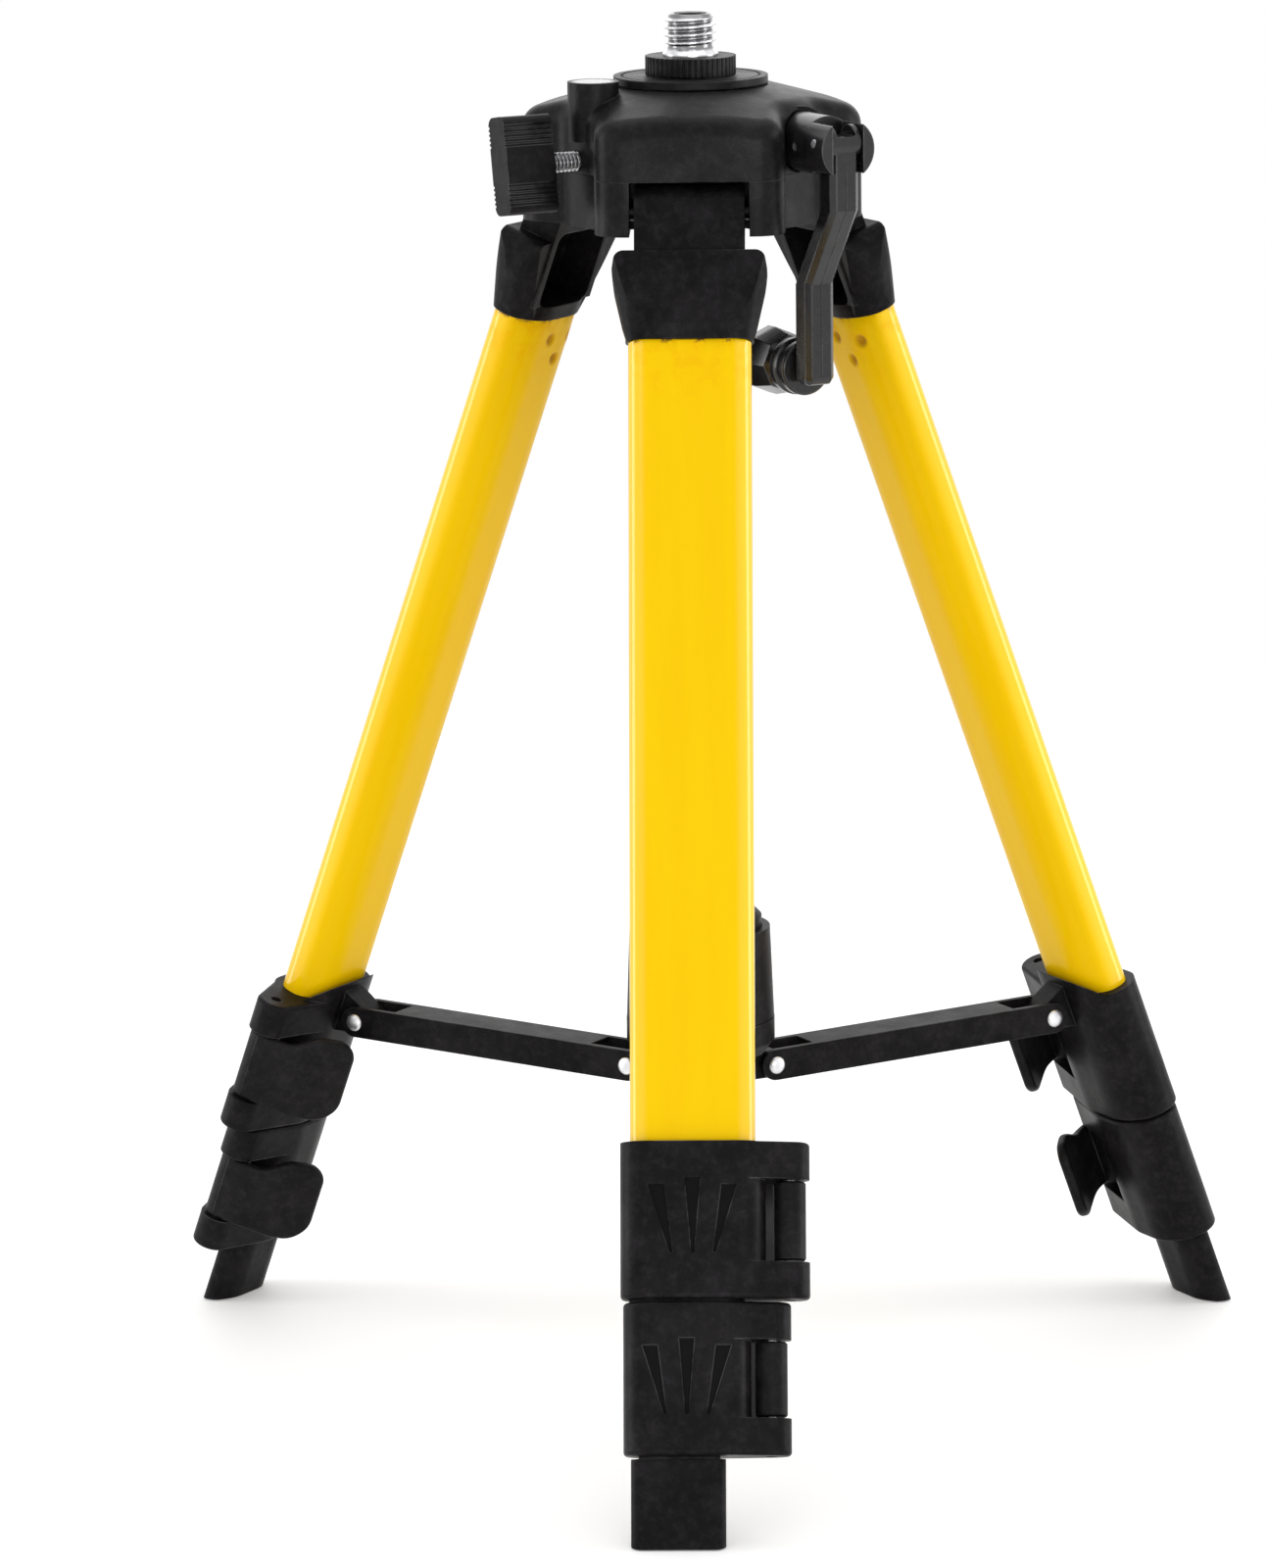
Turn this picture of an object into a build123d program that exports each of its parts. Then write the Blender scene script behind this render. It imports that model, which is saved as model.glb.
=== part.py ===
from build123d import *
import os
from math import atan2, cos, hypot, pi, radians, sin, tan

os.makedirs("parts", exist_ok=True)

# A tripod for a laser level, standing open with every leg section pushed in.
# Millimetres, +Z up, origin on the floor under the lifting column, one leg towards -Y.

# Fits
pin_fit = 0.05  # radial running clearance of pins and shafts
press = 0.02  # clearance of pieces that stay together
slide_gap = 0.3  # clearance of sliding leg tubes and other turning neighbours
running_gap = 0.5  # end clearance between pieces that turn on each other

# Leg layout
leg_azimuths = {"front": 270, "right": 30, "left": 150}
leg_tilt = 20.8  # degrees from vertical
pivot_radius = 38.0
pivot_height = 363.0

# Leg tubes: width of the flat outward face, of the round inward face, depth, corner radius, sideways shift
tube_wall = 1.2
upper_size = (36.0, 21.0, 14.2, 5.0, 0.0)
middle_size = (28.5, 15.0, 11.0, 4.0, -1.8)
lower_size = (19.4, 8.6, 7.8, 2.6, -4.1)
section_drop = 0.1  # the sides turn in this share of the depth past the middle
side_round = 1.0  # radii there and at the inward face, in corner radii
inward_round = 3.5
tube_offset = 1.9  # tubes outward of the hinge line
tube_inset = 12.0  # length of a tube held in its collar
middle_top = 70.0  # where the inner tubes start below the hinge, pushed in
lower_top = 85.0

# Leg cap
cap_length = 40.1  # hinge to the top of the tube
cap_insert = 16.0
cap_rim = 9.0
cap_lip = 0.8
knuckle_radius = 8.0
neck_width = 32.3
neck_thickness = 12.5
shield_top = 14.0
shield_width = 45.4
shield_foot_width = 36.6
shield_inner = -4.0
shield_flare = 6.7  # bowl's growth over the tube at the shield's top
shield_outer = 10.8
bowl_width = 27.0  # hollow on the inward side
bowl_top = 11.5
bowl_wall = 3.2
hinge_pin_radius = 2.5

# Flip-lock collars
upper_collar_wall = 2.8
lower_collar_wall = 4.0
collar_gap = 0.8
upper_collar_height = 45.0
lower_collar_height = 43.7
upper_hinge_x = 27.6
lower_hinge_x = 22.1
hinge_depth = 9.4  # lever's hinge behind the collar's front face
lug_radius = 5.8  # round the lever's hinge
lug_height = 10.7
collar_round = 1.2
barrel_radius = 4.7
lever_pin_radius = 1.6
lever_thickness = 3.4
lever_tab_top = 4.6  # how far the finger tab stands past the lever's ends
lever_tab_foot = 1.2
lever_tab_round = 5.0
lever_bend = 5.0  # rounding of the flare
lever_reach = 22.0  # finger tab past the tube's middle, towards the tripod's axis
groove_depth = 1.1
groove_width = 4.4
groove_length = 21.5
groove_start = 10.5
groove_fan = 9.5
horn_height = 6.0

# Spreader
strut_pivot_drop = 3.9122  # below the upper collar's top, along the leg
strut_pivot_gap = 7.3367  # behind the collar's back
hub_pivot_radius = 22.6
hub_pivot_fall = 2.2  # from the collar's pivots down to the hub's
strut_width = 14.0
strut_cheek = 2.0
strut_height = 9.5
strut_web = 1.8
strut_notch = 14.0
tongue_radius = 4.2
rivet_radius = 1.9
rivet_head_radius = 2.6
rivet_head_height = 1.3
hub_core_wall = 1.5
hub_drop = 6.4  # core below the strut pivots
hub_flange_rise = 6.3  # flange and sleeve above them
hub_flange_radius = 22.6
hub_neck_radius = 18.9
hub_neck_length = 4.8  # neck standing out of the sleeve
sleeve_rise = 17.4
sleeve_length = 27.9
sleeve_radius_bottom = 22.5
sleeve_radius_top = 21.4

# Foot
foot_size = (27.1, 15.5, 9.4, 3.2, -4.4)
foot_length = 25.8148  # down its outward face to the floor
foot_gap = 0.8
foot_heel = 2.0  # length left past the floor for the flat cut
foot_socket = 17.0

# Head
hinge_drop = 6.5  # head's underside below the leg hinges
head_base_height = 16.0
head_cover_height = 24.0
head_core_radius = 39.0
lobe_radius = 46.0
lobe_width = 56.0
lobe_corner = 9.0
dome_radius = 24.0
dome_slope = 15.5  # degrees
dome_round = 7.0
slot_width = 35.2
slot_start = 27.0
hinge_pin_length = 46.0
case_screw_radius = 1.6
case_screw_circle = 27.0
case_screw_azimuth = 75.0
case_screw_length = 20.0
case_screw_head = 2.9

# Bubble
bubble_azimuth = 210.8
bubble_circle = 33.2
bubble_boss_radius = 7.6
bubble_boss_rise = 2.8  # over the cover
bubble_boss_height = 17.5
vial_radius = 6.3
vial_depth = 5.0
lens_thickness = 0.9

# Column
column_radius = 10.0
column_bore = 7.6
column_drop = 24.9  # below the hub's pivots
guide_radius = 11.2
guide_drop = 34.9
rack_flat = 9.5
platform_radius = 23.0
platform_gap = 0.4
platform_thickness = 2.3
platform_plug = 14.0
ring_groove_depth = 0.5
ring_groove_width = 0.9
ring_grooves = (15.5, 18.0, 20.5)
screw_radius = 3.1
wheel_radius = 13.5
wheel_gap = 0.3
wheel_thickness = 5.5
wheel_ribs = 48
wheel_rib_depth = 0.5
stud_radius = 15.875 / 2
stud_root = 6.5
stud_neck = 3.6
stud_thread = 8.9
stud_chamfer = 1.2
stud_hole = 5.0
stud_hole_depth = 5.5

# Crank
crank_rise = 9.0  # over the head's parting line
crank_azimuth = 300.0
crank_offset = 18.0
pinion_half = 10.0
shaft_radius = 4.0
shaft_end = 50.0
crank_boss_radius = 10.2
hub_start = 34.0
crank_hub_radius = 8.8
crank_hub_end = 62.0
crank_pin_along = 56.5
crank_pin_height = 1.8
crank_pin_radius = 1.25
cross_pin_along = 46.0
fork_slot = 10.2
fork_depth = 12.0
arm_width = 9.5
arm_thickness = 8.5
arm_eye_radius = 5.0
arm_step_in = 15.0
arm_step_top = 20.0
arm_step_bottom = 43.0
arm_length = 69.0
arm_bevel = 1.5
arm_ear = 1.6
arm_notch = 3.2
grip_radius = 9.4
grip_end = 11.8
spigot_radius = 3.0

# Column lock
lock_azimuth = 210.0
lock_rise = 3.5  # over the head's parting line
lock_screw_radius = 3.0
lock_screw_end = 54.0
lock_boss_radius = 6.5
lock_boss_end = 38.0
knob_start = 48.4
knob_length = 16.0
knob_height = 29.0
knob_thickness = 10.0
knob_turn = 9.0  # degrees, as photographed
knob_ribs = 5
knob_rib_pitch = 1.4
knob_corner = 3.0
knob_rib_depth = 0.6

tilt = radians(leg_tilt)
floor_station = (pivot_height + (tube_offset + foot_size[2] / 2) * sin(tilt)) / cos(tilt)
foot_station = floor_station - foot_length
lower_collar_station = foot_station - foot_gap - lower_collar_height
collar_station = lower_collar_station - collar_gap - upper_collar_height

strut_pivot_station = collar_station + strut_pivot_drop
strut_pivot_depth = tube_offset - upper_size[2] / 2 - upper_collar_wall - strut_pivot_gap
strut_pivot_radius = pivot_radius + strut_pivot_station * sin(tilt) + strut_pivot_depth * cos(tilt)
strut_pivot_height = pivot_height - strut_pivot_station * cos(tilt) + strut_pivot_depth * sin(tilt)
hub_pivot_height = strut_pivot_height - hub_pivot_fall
strut_length = hypot(strut_pivot_radius - hub_pivot_radius, hub_pivot_fall)

head_bottom = pivot_height - hinge_drop
head_parting = head_bottom + head_base_height
head_top_height = head_parting + head_cover_height
bubble_boss_top = head_top_height + bubble_boss_rise
crank_height = head_parting + crank_rise
lock_height = head_parting + lock_rise
platform_bottom = head_top_height + platform_gap
platform_top = platform_bottom + platform_thickness
wheel_bottom = platform_top + wheel_gap
wheel_top = wheel_bottom + wheel_thickness
stud_thread_bottom = wheel_top + stud_neck
stud_top = stud_thread_bottom + stud_thread
column_bottom = hub_pivot_height - column_drop
guide_bottom = hub_pivot_height - guide_drop
hub_bottom = hub_pivot_height - hub_drop
hub_flange_bottom = hub_pivot_height + hub_flange_rise
sleeve_bottom = hub_pivot_height + sleeve_rise
sleeve_top = sleeve_bottom + sleeve_length
hub_neck_top = sleeve_top + hub_neck_length


def save(builder, name):
    builder.part.label = name
    export_step(builder.part, f"parts/{name}.step")


def outward(azimuth):
    return Vector(cos(radians(azimuth)), sin(radians(azimuth)), 0)


def across(azimuth):
    return Vector(-sin(radians(azimuth)), cos(radians(azimuth)), 0)


def leg_plane(azimuth, station=0.0):
    """Square to the leg: x to the lever side, y outward, z down the leg from its hinge."""
    down = outward(azimuth) * sin(tilt) - Vector(0, 0, cos(tilt))
    hinge = outward(azimuth) * pivot_radius + Vector(0, 0, pivot_height)
    return Plane(hinge + down * station, x_dir=across(azimuth), z_dir=down)


def face_plane(azimuth, depth=0.0):
    """Along the leg, facing outward: x to the lever side, y up the leg."""
    leg = leg_plane(azimuth)
    return Plane(leg.origin, x_dir=leg.x_dir, z_dir=leg.y_dir).offset(depth)


def side_plane(azimuth, shift=0.0):
    """Along the leg, facing the lever side: x outward, y down the leg."""
    leg = leg_plane(azimuth)
    return Plane(leg.origin, x_dir=leg.y_dir, z_dir=leg.x_dir).offset(shift)


def leg_section(plane, size, grow=0.0):
    """Tube outline, flat on its outward face and round inward, grown by a wall or a clearance."""
    width, inner_width, depth, corner, shift = size
    half = depth / 2
    turn = atan2((width - inner_width) / 2, half - section_drop * depth)
    side = (width / 2 + grow, -section_drop * depth - grow * tan(turn / 2))
    inward = (inner_width / 2 + grow * tan(pi / 4 - turn / 2), -half - grow)
    right = ((width / 2 + grow, half + grow), side, inward)
    left = tuple((-x, y) for x, y in reversed(right))
    rounds = (corner + grow, side_round * corner + grow, inward_round * corner + grow)
    with BuildSketch(plane) as outline:
        with BuildLine():
            points = [(x + shift, y + tube_offset) for x, y in right + left]
            FilletPolyline(*points, radius=rounds + rounds[::-1], close=True)
        make_face()
    return outline.sketch


def leg_block(plane, length, size, grow=0.0, mode=Mode.ADD):
    extrude(leg_section(plane, size, grow), amount=length, mode=mode)


def leg_tube(azimuth, start, end, size):
    with BuildPart() as tube:
        leg_block(leg_plane(azimuth, start), end - start, size)
        leg_block(leg_plane(azimuth, start), end - start, size, -tube_wall, mode=Mode.SUBTRACT)
    return tube


def leg_cap(azimuth):
    neck_end = cap_length - cap_rim / 2
    with BuildPart() as cap:
        leg_block(leg_plane(azimuth, cap_length), cap_insert, upper_size, -tube_wall - press)
        leg_block(leg_plane(azimuth, cap_length - cap_rim), cap_rim, upper_size, cap_lip)
        with BuildSketch(face_plane(azimuth, shield_inner), mode=Mode.PRIVATE) as shield:
            with BuildLine():
                side_top = (shield_width / 2, -shield_top - 5)
                side_foot = (shield_foot_width / 2, -cap_length)
                side_mid = (shield_width / 2 - 0.9, -(shield_top + cap_length) / 2)
                top = (shield_width / 2 - 1, -shield_top)
                ThreePointArc(side_foot, side_mid, side_top)
                Line(side_top, top)
                Line(top, (0, top[1]))
                mirror(about=Plane.YZ)
                Line((-side_foot[0], side_foot[1]), side_foot)
            make_face()
            fillet(shield.vertices().group_by(Axis.Y)[-1], 3.0)
        with BuildPart(mode=Mode.PRIVATE) as bowl:
            flared = leg_section(leg_plane(azimuth, shield_top), upper_size, shield_flare)
            loft([flared, leg_section(leg_plane(azimuth, cap_length), upper_size, cap_lip)])
            extrude(shield.sketch, amount=shield_outer - shield_inner, mode=Mode.INTERSECT)
        add(bowl.part)
        with BuildSketch(side_plane(azimuth, -neck_width / 2)):
            Circle(knuckle_radius)
            with Locations((knuckle_radius - neck_thickness / 2, neck_end / 2)):
                Rectangle(neck_thickness, neck_end)
        extrude(amount=neck_width)
        with BuildSketch(side_plane(azimuth, -neck_width / 2)):
            Circle(hinge_pin_radius + pin_fit)
        extrude(amount=neck_width, mode=Mode.SUBTRACT)
        with BuildSketch(face_plane(azimuth, shield_outer - bowl_wall)):
            bowl_foot = cap_length - cap_rim / 2
            with Locations((0, -(bowl_top + bowl_foot) / 2)):
                RectangleRounded(bowl_width, bowl_foot - bowl_top, bowl_wall)
        extrude(amount=-upper_size[2] - bowl_wall, mode=Mode.SUBTRACT)
    return cap


def collar_front(held, wall):
    return tube_offset + held[2] / 2 + wall


def lever_hinge_y(held, wall):
    return collar_front(held, wall) - hinge_depth


def collar_outline(azimuth, station, held, wall, hinge_x):
    """Tube outline drawn out to a round lug at the lever's hinge."""
    with BuildSketch(leg_plane(azimuth, station)) as outline:
        add(leg_section(Plane.XY, held, wall))
        with Locations((hinge_x, lever_hinge_y(held, wall))):
            Circle(lug_radius)
        make_hull()
    return outline.sketch


def collar(azimuth, station, height, held, wall, hinge_x, guided, tongue):
    """Flip-lock body: socket for the tube above, throat for the tube below, lugs at its outer corner."""
    front = collar_front(held, wall)
    back = 2 * tube_offset - front
    hinge_y = lever_hinge_y(held, wall)
    leg_axis = Axis(leg_plane(azimuth).origin, leg_plane(azimuth).z_dir)
    with BuildPart() as body:
        leg_block(leg_plane(azimuth, station), height, held, wall)
        for lug in (station, station + height - lug_height):
            extrude(collar_outline(azimuth, lug, held, wall, hinge_x), amount=lug_height)
        ends = body.faces().sort_by(leg_axis)
        fillet(ends[0].edges() + ends[-1].edges(), collar_round)
        if tongue:
            leg_block(leg_plane(azimuth, station - horn_height), horn_height + collar_round, held, wall)
            with BuildSketch(side_plane(azimuth)):
                reach = front + 20
                Polygon(
                    (reach, station),
                    (back / 4, station),
                    (back, station - horn_height),
                    (back, station - horn_height - 5),
                    (reach, station - horn_height - 5),
                    align=Align.NONE,
                )
            extrude(amount=reach, both=True, mode=Mode.SUBTRACT)
            with BuildSketch(side_plane(azimuth)):
                with Locations((strut_pivot_depth, strut_pivot_station)):
                    Circle(tongue_radius)
                with Locations((back, strut_pivot_station)):
                    root = 2 * (strut_pivot_station - station) + horn_height
                    Rectangle(wall, root, align=(Align.MIN, Align.CENTER))
                make_hull()
            extrude(amount=strut_width / 2 - strut_cheek - slide_gap, both=True)
            with BuildSketch(side_plane(azimuth)):
                with Locations((strut_pivot_depth, strut_pivot_station)):
                    Circle(rivet_radius + pin_fit)
            extrude(amount=strut_width / 2, both=True, mode=Mode.SUBTRACT)
        socket = leg_plane(azimuth, station - 2 * horn_height)
        leg_block(socket, 2 * horn_height + tube_inset, held, press, mode=Mode.SUBTRACT)
        leg_block(leg_plane(azimuth, station), height, guided, slide_gap, mode=Mode.SUBTRACT)
        with BuildSketch(leg_plane(azimuth, station + lug_height)):
            with Locations((hinge_x, hinge_y)):
                Circle(barrel_radius + running_gap)
        extrude(amount=height - 2 * lug_height, mode=Mode.SUBTRACT)
        with BuildSketch(leg_plane(azimuth, station)):
            with Locations((hinge_x, hinge_y)):
                Circle(lever_pin_radius + press)
        extrude(amount=height, mode=Mode.SUBTRACT)
        with BuildSketch(face_plane(azimuth, front - groove_depth)):
            start = -(station + groove_start)
            for turn in (-1, 0, 1):
                middle = held[4] + turn * groove_fan
                Polygon(
                    (middle - groove_width / 2 + turn, start - 2 * abs(turn)),
                    (middle + groove_width / 2 + turn, start - 2 * abs(turn)),
                    (middle - turn * groove_fan * 0.35 + 0.4, start - groove_length),
                    (middle - turn * groove_fan * 0.35 - 0.4, start - groove_length),
                    align=Align.NONE,
                )
        extrude(amount=groove_depth + 1, mode=Mode.SUBTRACT)
    return body


def lever_span(station, height):
    start = station + lug_height + running_gap
    end = station + height - lug_height - running_gap
    return start, end


def flip_lever(azimuth, station, height, held, wall, hinge_x):
    """Lever with its barrel between the lugs, curving round the collar to a flared finger tab."""
    start, end = lever_span(station, height)
    hinge_y = lever_hinge_y(held, wall)
    outside = hinge_x + barrel_radius - lever_thickness / 2
    with BuildPart() as lever:
        with BuildSketch(leg_plane(azimuth, start - lever_tab_top)):
            with BuildLine():
                Spline(
                    (outside, hinge_y),
                    (outside - 0.9, hinge_y - 0.25 * lever_reach),
                    (outside - 8.0, hinge_y - 0.75 * lever_reach),
                    (outside - 18.0, -lever_reach),
                )
            trace(line_width=lever_thickness)
        extrude(amount=end - start + lever_tab_top + lever_tab_foot)
        with BuildSketch(side_plane(azimuth)) as outline:
            with BuildLine():
                Polyline(
                    (hinge_y + barrel_radius, start),
                    (-0.25 * lever_reach, start),
                    (-0.55 * lever_reach, start - lever_tab_top),
                    (-lever_reach, start - lever_tab_top),
                    (-lever_reach, end + lever_tab_foot),
                    (-0.55 * lever_reach, end + lever_tab_foot),
                    (-0.25 * lever_reach, end),
                    (hinge_y + barrel_radius, end),
                    close=True,
                )
            make_face()
            bends = outline.vertices().filter_by_position(Axis.X, -0.6 * lever_reach, 0)
            fillet(bends, lever_bend)
            tab = outline.vertices().group_by(Axis.X)[0]
            fillet(tab, lever_tab_round)
        extrude(amount=60, both=True, mode=Mode.INTERSECT)
        with BuildSketch(leg_plane(azimuth, start)):
            with Locations((hinge_x, hinge_y)):
                Circle(barrel_radius)
        extrude(amount=end - start)
        with BuildSketch(leg_plane(azimuth, start)):
            with Locations((hinge_x, hinge_y)):
                Circle(lever_pin_radius + pin_fit)
        extrude(amount=end - start, mode=Mode.SUBTRACT)
    return lever


def lever_pin(azimuth, station, height, held, wall, hinge_x):
    with BuildPart() as pin:
        with BuildSketch(leg_plane(azimuth, station + 1)):
            with Locations((hinge_x, lever_hinge_y(held, wall))):
                Circle(lever_pin_radius)
        extrude(amount=height - 2)
    return pin


def foot(azimuth):
    """Plastic tip, cut flat where it stands on the floor."""
    with BuildPart() as tip:
        leg_block(leg_plane(azimuth, foot_station), foot_length + foot_heel, foot_size)
        leg_block(leg_plane(azimuth, foot_station), foot_socket, lower_size, press, mode=Mode.SUBTRACT)
        split(bisect_by=Plane.XY, keep=Keep.TOP)
    return tip


def strut_plane(azimuth):
    """Upright through the leg: x from the hub to the collar, y up, middle of the strut at the origin."""
    run = outward(azimuth) * (strut_pivot_radius - hub_pivot_radius)
    run += Vector(0, 0, hub_pivot_fall)
    middle = outward(azimuth) * (strut_pivot_radius + hub_pivot_radius) / 2
    middle += Vector(0, 0, (strut_pivot_height + hub_pivot_height) / 2)
    return Plane(middle, x_dir=run, z_dir=-across(azimuth))


def strut(azimuth):
    """Channel open below; its web stops short of both ends, so that the cheeks straddle their lugs."""
    inner = strut_width / 2 - strut_cheek
    with BuildPart() as channel:
        with BuildSketch(strut_plane(azimuth)):
            SlotCenterToCenter(strut_length, strut_height)
        extrude(amount=strut_width / 2, both=True)
        with BuildSketch(strut_plane(azimuth)):
            with Locations((0, -strut_web)):
                Rectangle(strut_length + 2 * strut_height, strut_height)
            with GridLocations(strut_length, 0, 2, 1):
                Rectangle(2 * strut_notch, 2 * strut_height)
        extrude(amount=inner, both=True, mode=Mode.SUBTRACT)
        with BuildSketch(strut_plane(azimuth)):
            with GridLocations(strut_length, 0, 2, 1):
                Circle(rivet_radius + press)
        extrude(amount=strut_width / 2, both=True, mode=Mode.SUBTRACT)
    return channel


def strut_rivets(azimuth):
    """A rivet through the collar's tongue, and a stub in each cheek at the hub."""
    half = strut_width / 2
    inner = half - strut_cheek
    with BuildPart() as rivets:
        with BuildSketch(strut_plane(azimuth)):
            with Locations((strut_length / 2, 0)):
                Circle(rivet_radius)
        extrude(amount=half, both=True)
        for side in (-1, 1):
            cheek = strut_plane(azimuth).offset(side * inner)
            with BuildSketch(cheek):
                with Locations((-strut_length / 2, 0)):
                    Circle(rivet_radius)
            extrude(amount=side * strut_cheek)
            with BuildSketch(strut_plane(azimuth).offset(side * half)):
                with GridLocations(strut_length, 0, 2, 1):
                    Circle(rivet_head_radius)
            extrude(amount=side * rivet_head_height, taper=30)
    return rivets


for leg, azimuth in leg_azimuths.items():
    save(leg_cap(azimuth), f"{leg}_cap")
    save(leg_tube(azimuth, cap_length, collar_station + tube_inset, upper_size), f"{leg}_upper_tube")
    upper = (azimuth, collar_station, upper_collar_height, upper_size)
    upper += (upper_collar_wall, upper_hinge_x)
    save(collar(*upper, middle_size, True), f"{leg}_upper_collar")
    save(flip_lever(*upper), f"{leg}_upper_lever")
    save(lever_pin(*upper), f"{leg}_upper_lever_pin")
    middle_end = lower_collar_station + tube_inset
    save(leg_tube(azimuth, middle_top, middle_end, middle_size), f"{leg}_middle_tube")
    lower = (azimuth, lower_collar_station, lower_collar_height, middle_size)
    lower += (lower_collar_wall, lower_hinge_x)
    save(collar(*lower, lower_size, False), f"{leg}_lower_collar")
    save(flip_lever(*lower), f"{leg}_lower_lever")
    save(lever_pin(*lower), f"{leg}_lower_lever_pin")
    save(leg_tube(azimuth, lower_top, foot_station + foot_socket, lower_size), f"{leg}_lower_tube")
    save(foot(azimuth), f"{leg}_foot")
    save(strut(azimuth), f"{leg}_strut")
    save(strut_rivets(azimuth), f"{leg}_strut_rivets")

leg_starts = {"count": 3, "start_angle": leg_azimuths["right"]}


def head_plan(height):
    """Three square lobes round a middle ring, one lobe over each leg."""
    with BuildSketch(Plane.XY.offset(height)) as plan:
        Circle(head_core_radius)
        with PolarLocations(lobe_radius / 2, **leg_starts):
            RectangleRounded(lobe_radius, lobe_width, lobe_corner)
    return plan.sketch


# Crank axis: level, beside the column, x along it, y up
pinion_radius = crank_offset - rack_flat - slide_gap
crank_foot = outward(crank_azimuth + 90) * crank_offset + Vector(0, 0, crank_height)
crank_side = Plane(crank_foot, x_dir=outward(crank_azimuth), z_dir=-across(crank_azimuth))


def crank_round(along):
    """Square to the crank's axis, facing out from the head."""
    out = outward(crank_azimuth)
    return Plane(crank_foot + out * along, x_dir=across(crank_azimuth), z_dir=out)


def lock_round(along):
    """Square to the lock screw, facing out from the head."""
    middle = outward(lock_azimuth) * along + Vector(0, 0, lock_height)
    return Plane(middle, x_dir=across(lock_azimuth), z_dir=outward(lock_azimuth))


lock_screw_tip = column_radius + slide_gap


bubble_middle = outward(bubble_azimuth) * bubble_circle
dome_reach = hypot(lobe_radius, lobe_width)
dome_edge = head_top_height - (dome_reach - dome_radius) * tan(radians(dome_slope))

with BuildPart() as head_top:
    extrude(head_plan(head_parting), amount=head_top_height - head_parting)
    with BuildSketch(Plane.XZ):
        Polygon(
            (0, head_parting),
            (dome_reach, head_parting),
            (dome_reach, dome_edge),
            (dome_radius, head_top_height),
            (0, head_top_height),
            align=Align.NONE,
        )
    revolve(axis=Axis.Z, mode=Mode.INTERSECT)
    rim = head_top.edges().filter_by(lambda e: head_parting + 8 < e.center().Z < head_top_height - 1)
    fillet(rim, dome_round)
    with BuildSketch(crank_round(crank_offset - 6)):
        Circle(crank_boss_radius)
    extrude(amount=hub_start - running_gap - crank_offset + 6)
    with BuildSketch(lock_round(head_core_radius - 6)):
        Circle(lock_boss_radius - 1)
    extrude(amount=lock_boss_end - head_core_radius + 6)
    with BuildSketch(Plane.XY.offset(bubble_boss_top)):
        with Locations(bubble_middle):
            Circle(bubble_boss_radius)
    extrude(amount=-bubble_boss_height)
    with BuildSketch(Plane.XY.offset(bubble_boss_top - lens_thickness - vial_depth)):
        with Locations(bubble_middle):
            Circle(vial_radius + press)
    extrude(amount=lens_thickness + vial_depth, mode=Mode.SUBTRACT)
    with BuildSketch(Plane.XY.offset(head_parting)):
        Circle(column_radius + 2 * pin_fit)
    extrude(amount=head_top_height - head_parting, mode=Mode.SUBTRACT)
    with BuildSketch(crank_round(-pinion_half - running_gap)):
        Circle(pinion_radius + slide_gap)
    extrude(amount=2 * (pinion_half + running_gap), mode=Mode.SUBTRACT)
    with BuildSketch(crank_round(0)):
        Circle(shaft_radius + pin_fit)
    extrude(amount=hub_start - running_gap, mode=Mode.SUBTRACT)
    with BuildSketch(crank_round(hub_start - running_gap)):
        Circle(crank_hub_radius + running_gap)
    extrude(amount=crank_hub_end - hub_start, mode=Mode.SUBTRACT)
    with BuildSketch(lock_round(0)):
        Circle(lock_screw_radius + pin_fit)
    extrude(amount=lock_screw_end, mode=Mode.SUBTRACT)
    with BuildSketch(Plane.XY.offset(head_parting)):
        Circle(2 * lobe_radius)
    extrude(amount=head_bottom - head_parting, mode=Mode.SUBTRACT)
    with BuildSketch(Plane.XY.offset(head_parting)):
        with PolarLocations(case_screw_circle, 3, start_angle=case_screw_azimuth):
            Circle(case_screw_radius + press)
    extrude(amount=head_bottom + case_screw_length - head_parting, mode=Mode.SUBTRACT)
save(head_top, "head_top")

with BuildPart() as head_base:
    extrude(head_plan(head_bottom), amount=head_parting - head_bottom)
    slot_length = lobe_radius + 2 - slot_start
    with BuildSketch(Plane.XY.offset(head_bottom)):
        with PolarLocations(slot_start + slot_length / 2, **leg_starts):
            Rectangle(slot_length, slot_width)
    extrude(amount=head_parting - head_bottom, mode=Mode.SUBTRACT)
    with BuildSketch(Plane.XY.offset(head_bottom)):
        Circle(guide_radius + press)
        with PolarLocations(case_screw_circle, 3, start_angle=case_screw_azimuth):
            Circle(case_screw_radius + press)
    extrude(amount=head_parting - head_bottom, mode=Mode.SUBTRACT)
    for azimuth in leg_azimuths.values():
        with BuildSketch(side_plane(azimuth)):
            Circle(hinge_pin_radius + press)
        extrude(amount=hinge_pin_length / 2, both=True, mode=Mode.SUBTRACT)
save(head_base, "head_base")

with BuildPart() as leg_hinge_pins:
    for azimuth in leg_azimuths.values():
        with BuildSketch(side_plane(azimuth)):
            Circle(hinge_pin_radius)
        extrude(amount=hinge_pin_length / 2, both=True)
save(leg_hinge_pins, "leg_hinge_pins")

with BuildPart() as case_screws:
    with BuildSketch(Plane.XY.offset(head_bottom)):
        with PolarLocations(case_screw_circle, 3, start_angle=case_screw_azimuth):
            Circle(case_screw_radius)
    extrude(amount=case_screw_length)
    with BuildSketch(Plane.XY.offset(head_bottom)):
        with PolarLocations(case_screw_circle, 3, start_angle=case_screw_azimuth):
            Circle(case_screw_head)
    extrude(amount=-case_screw_head / 2)
save(case_screws, "case_screws")

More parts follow.
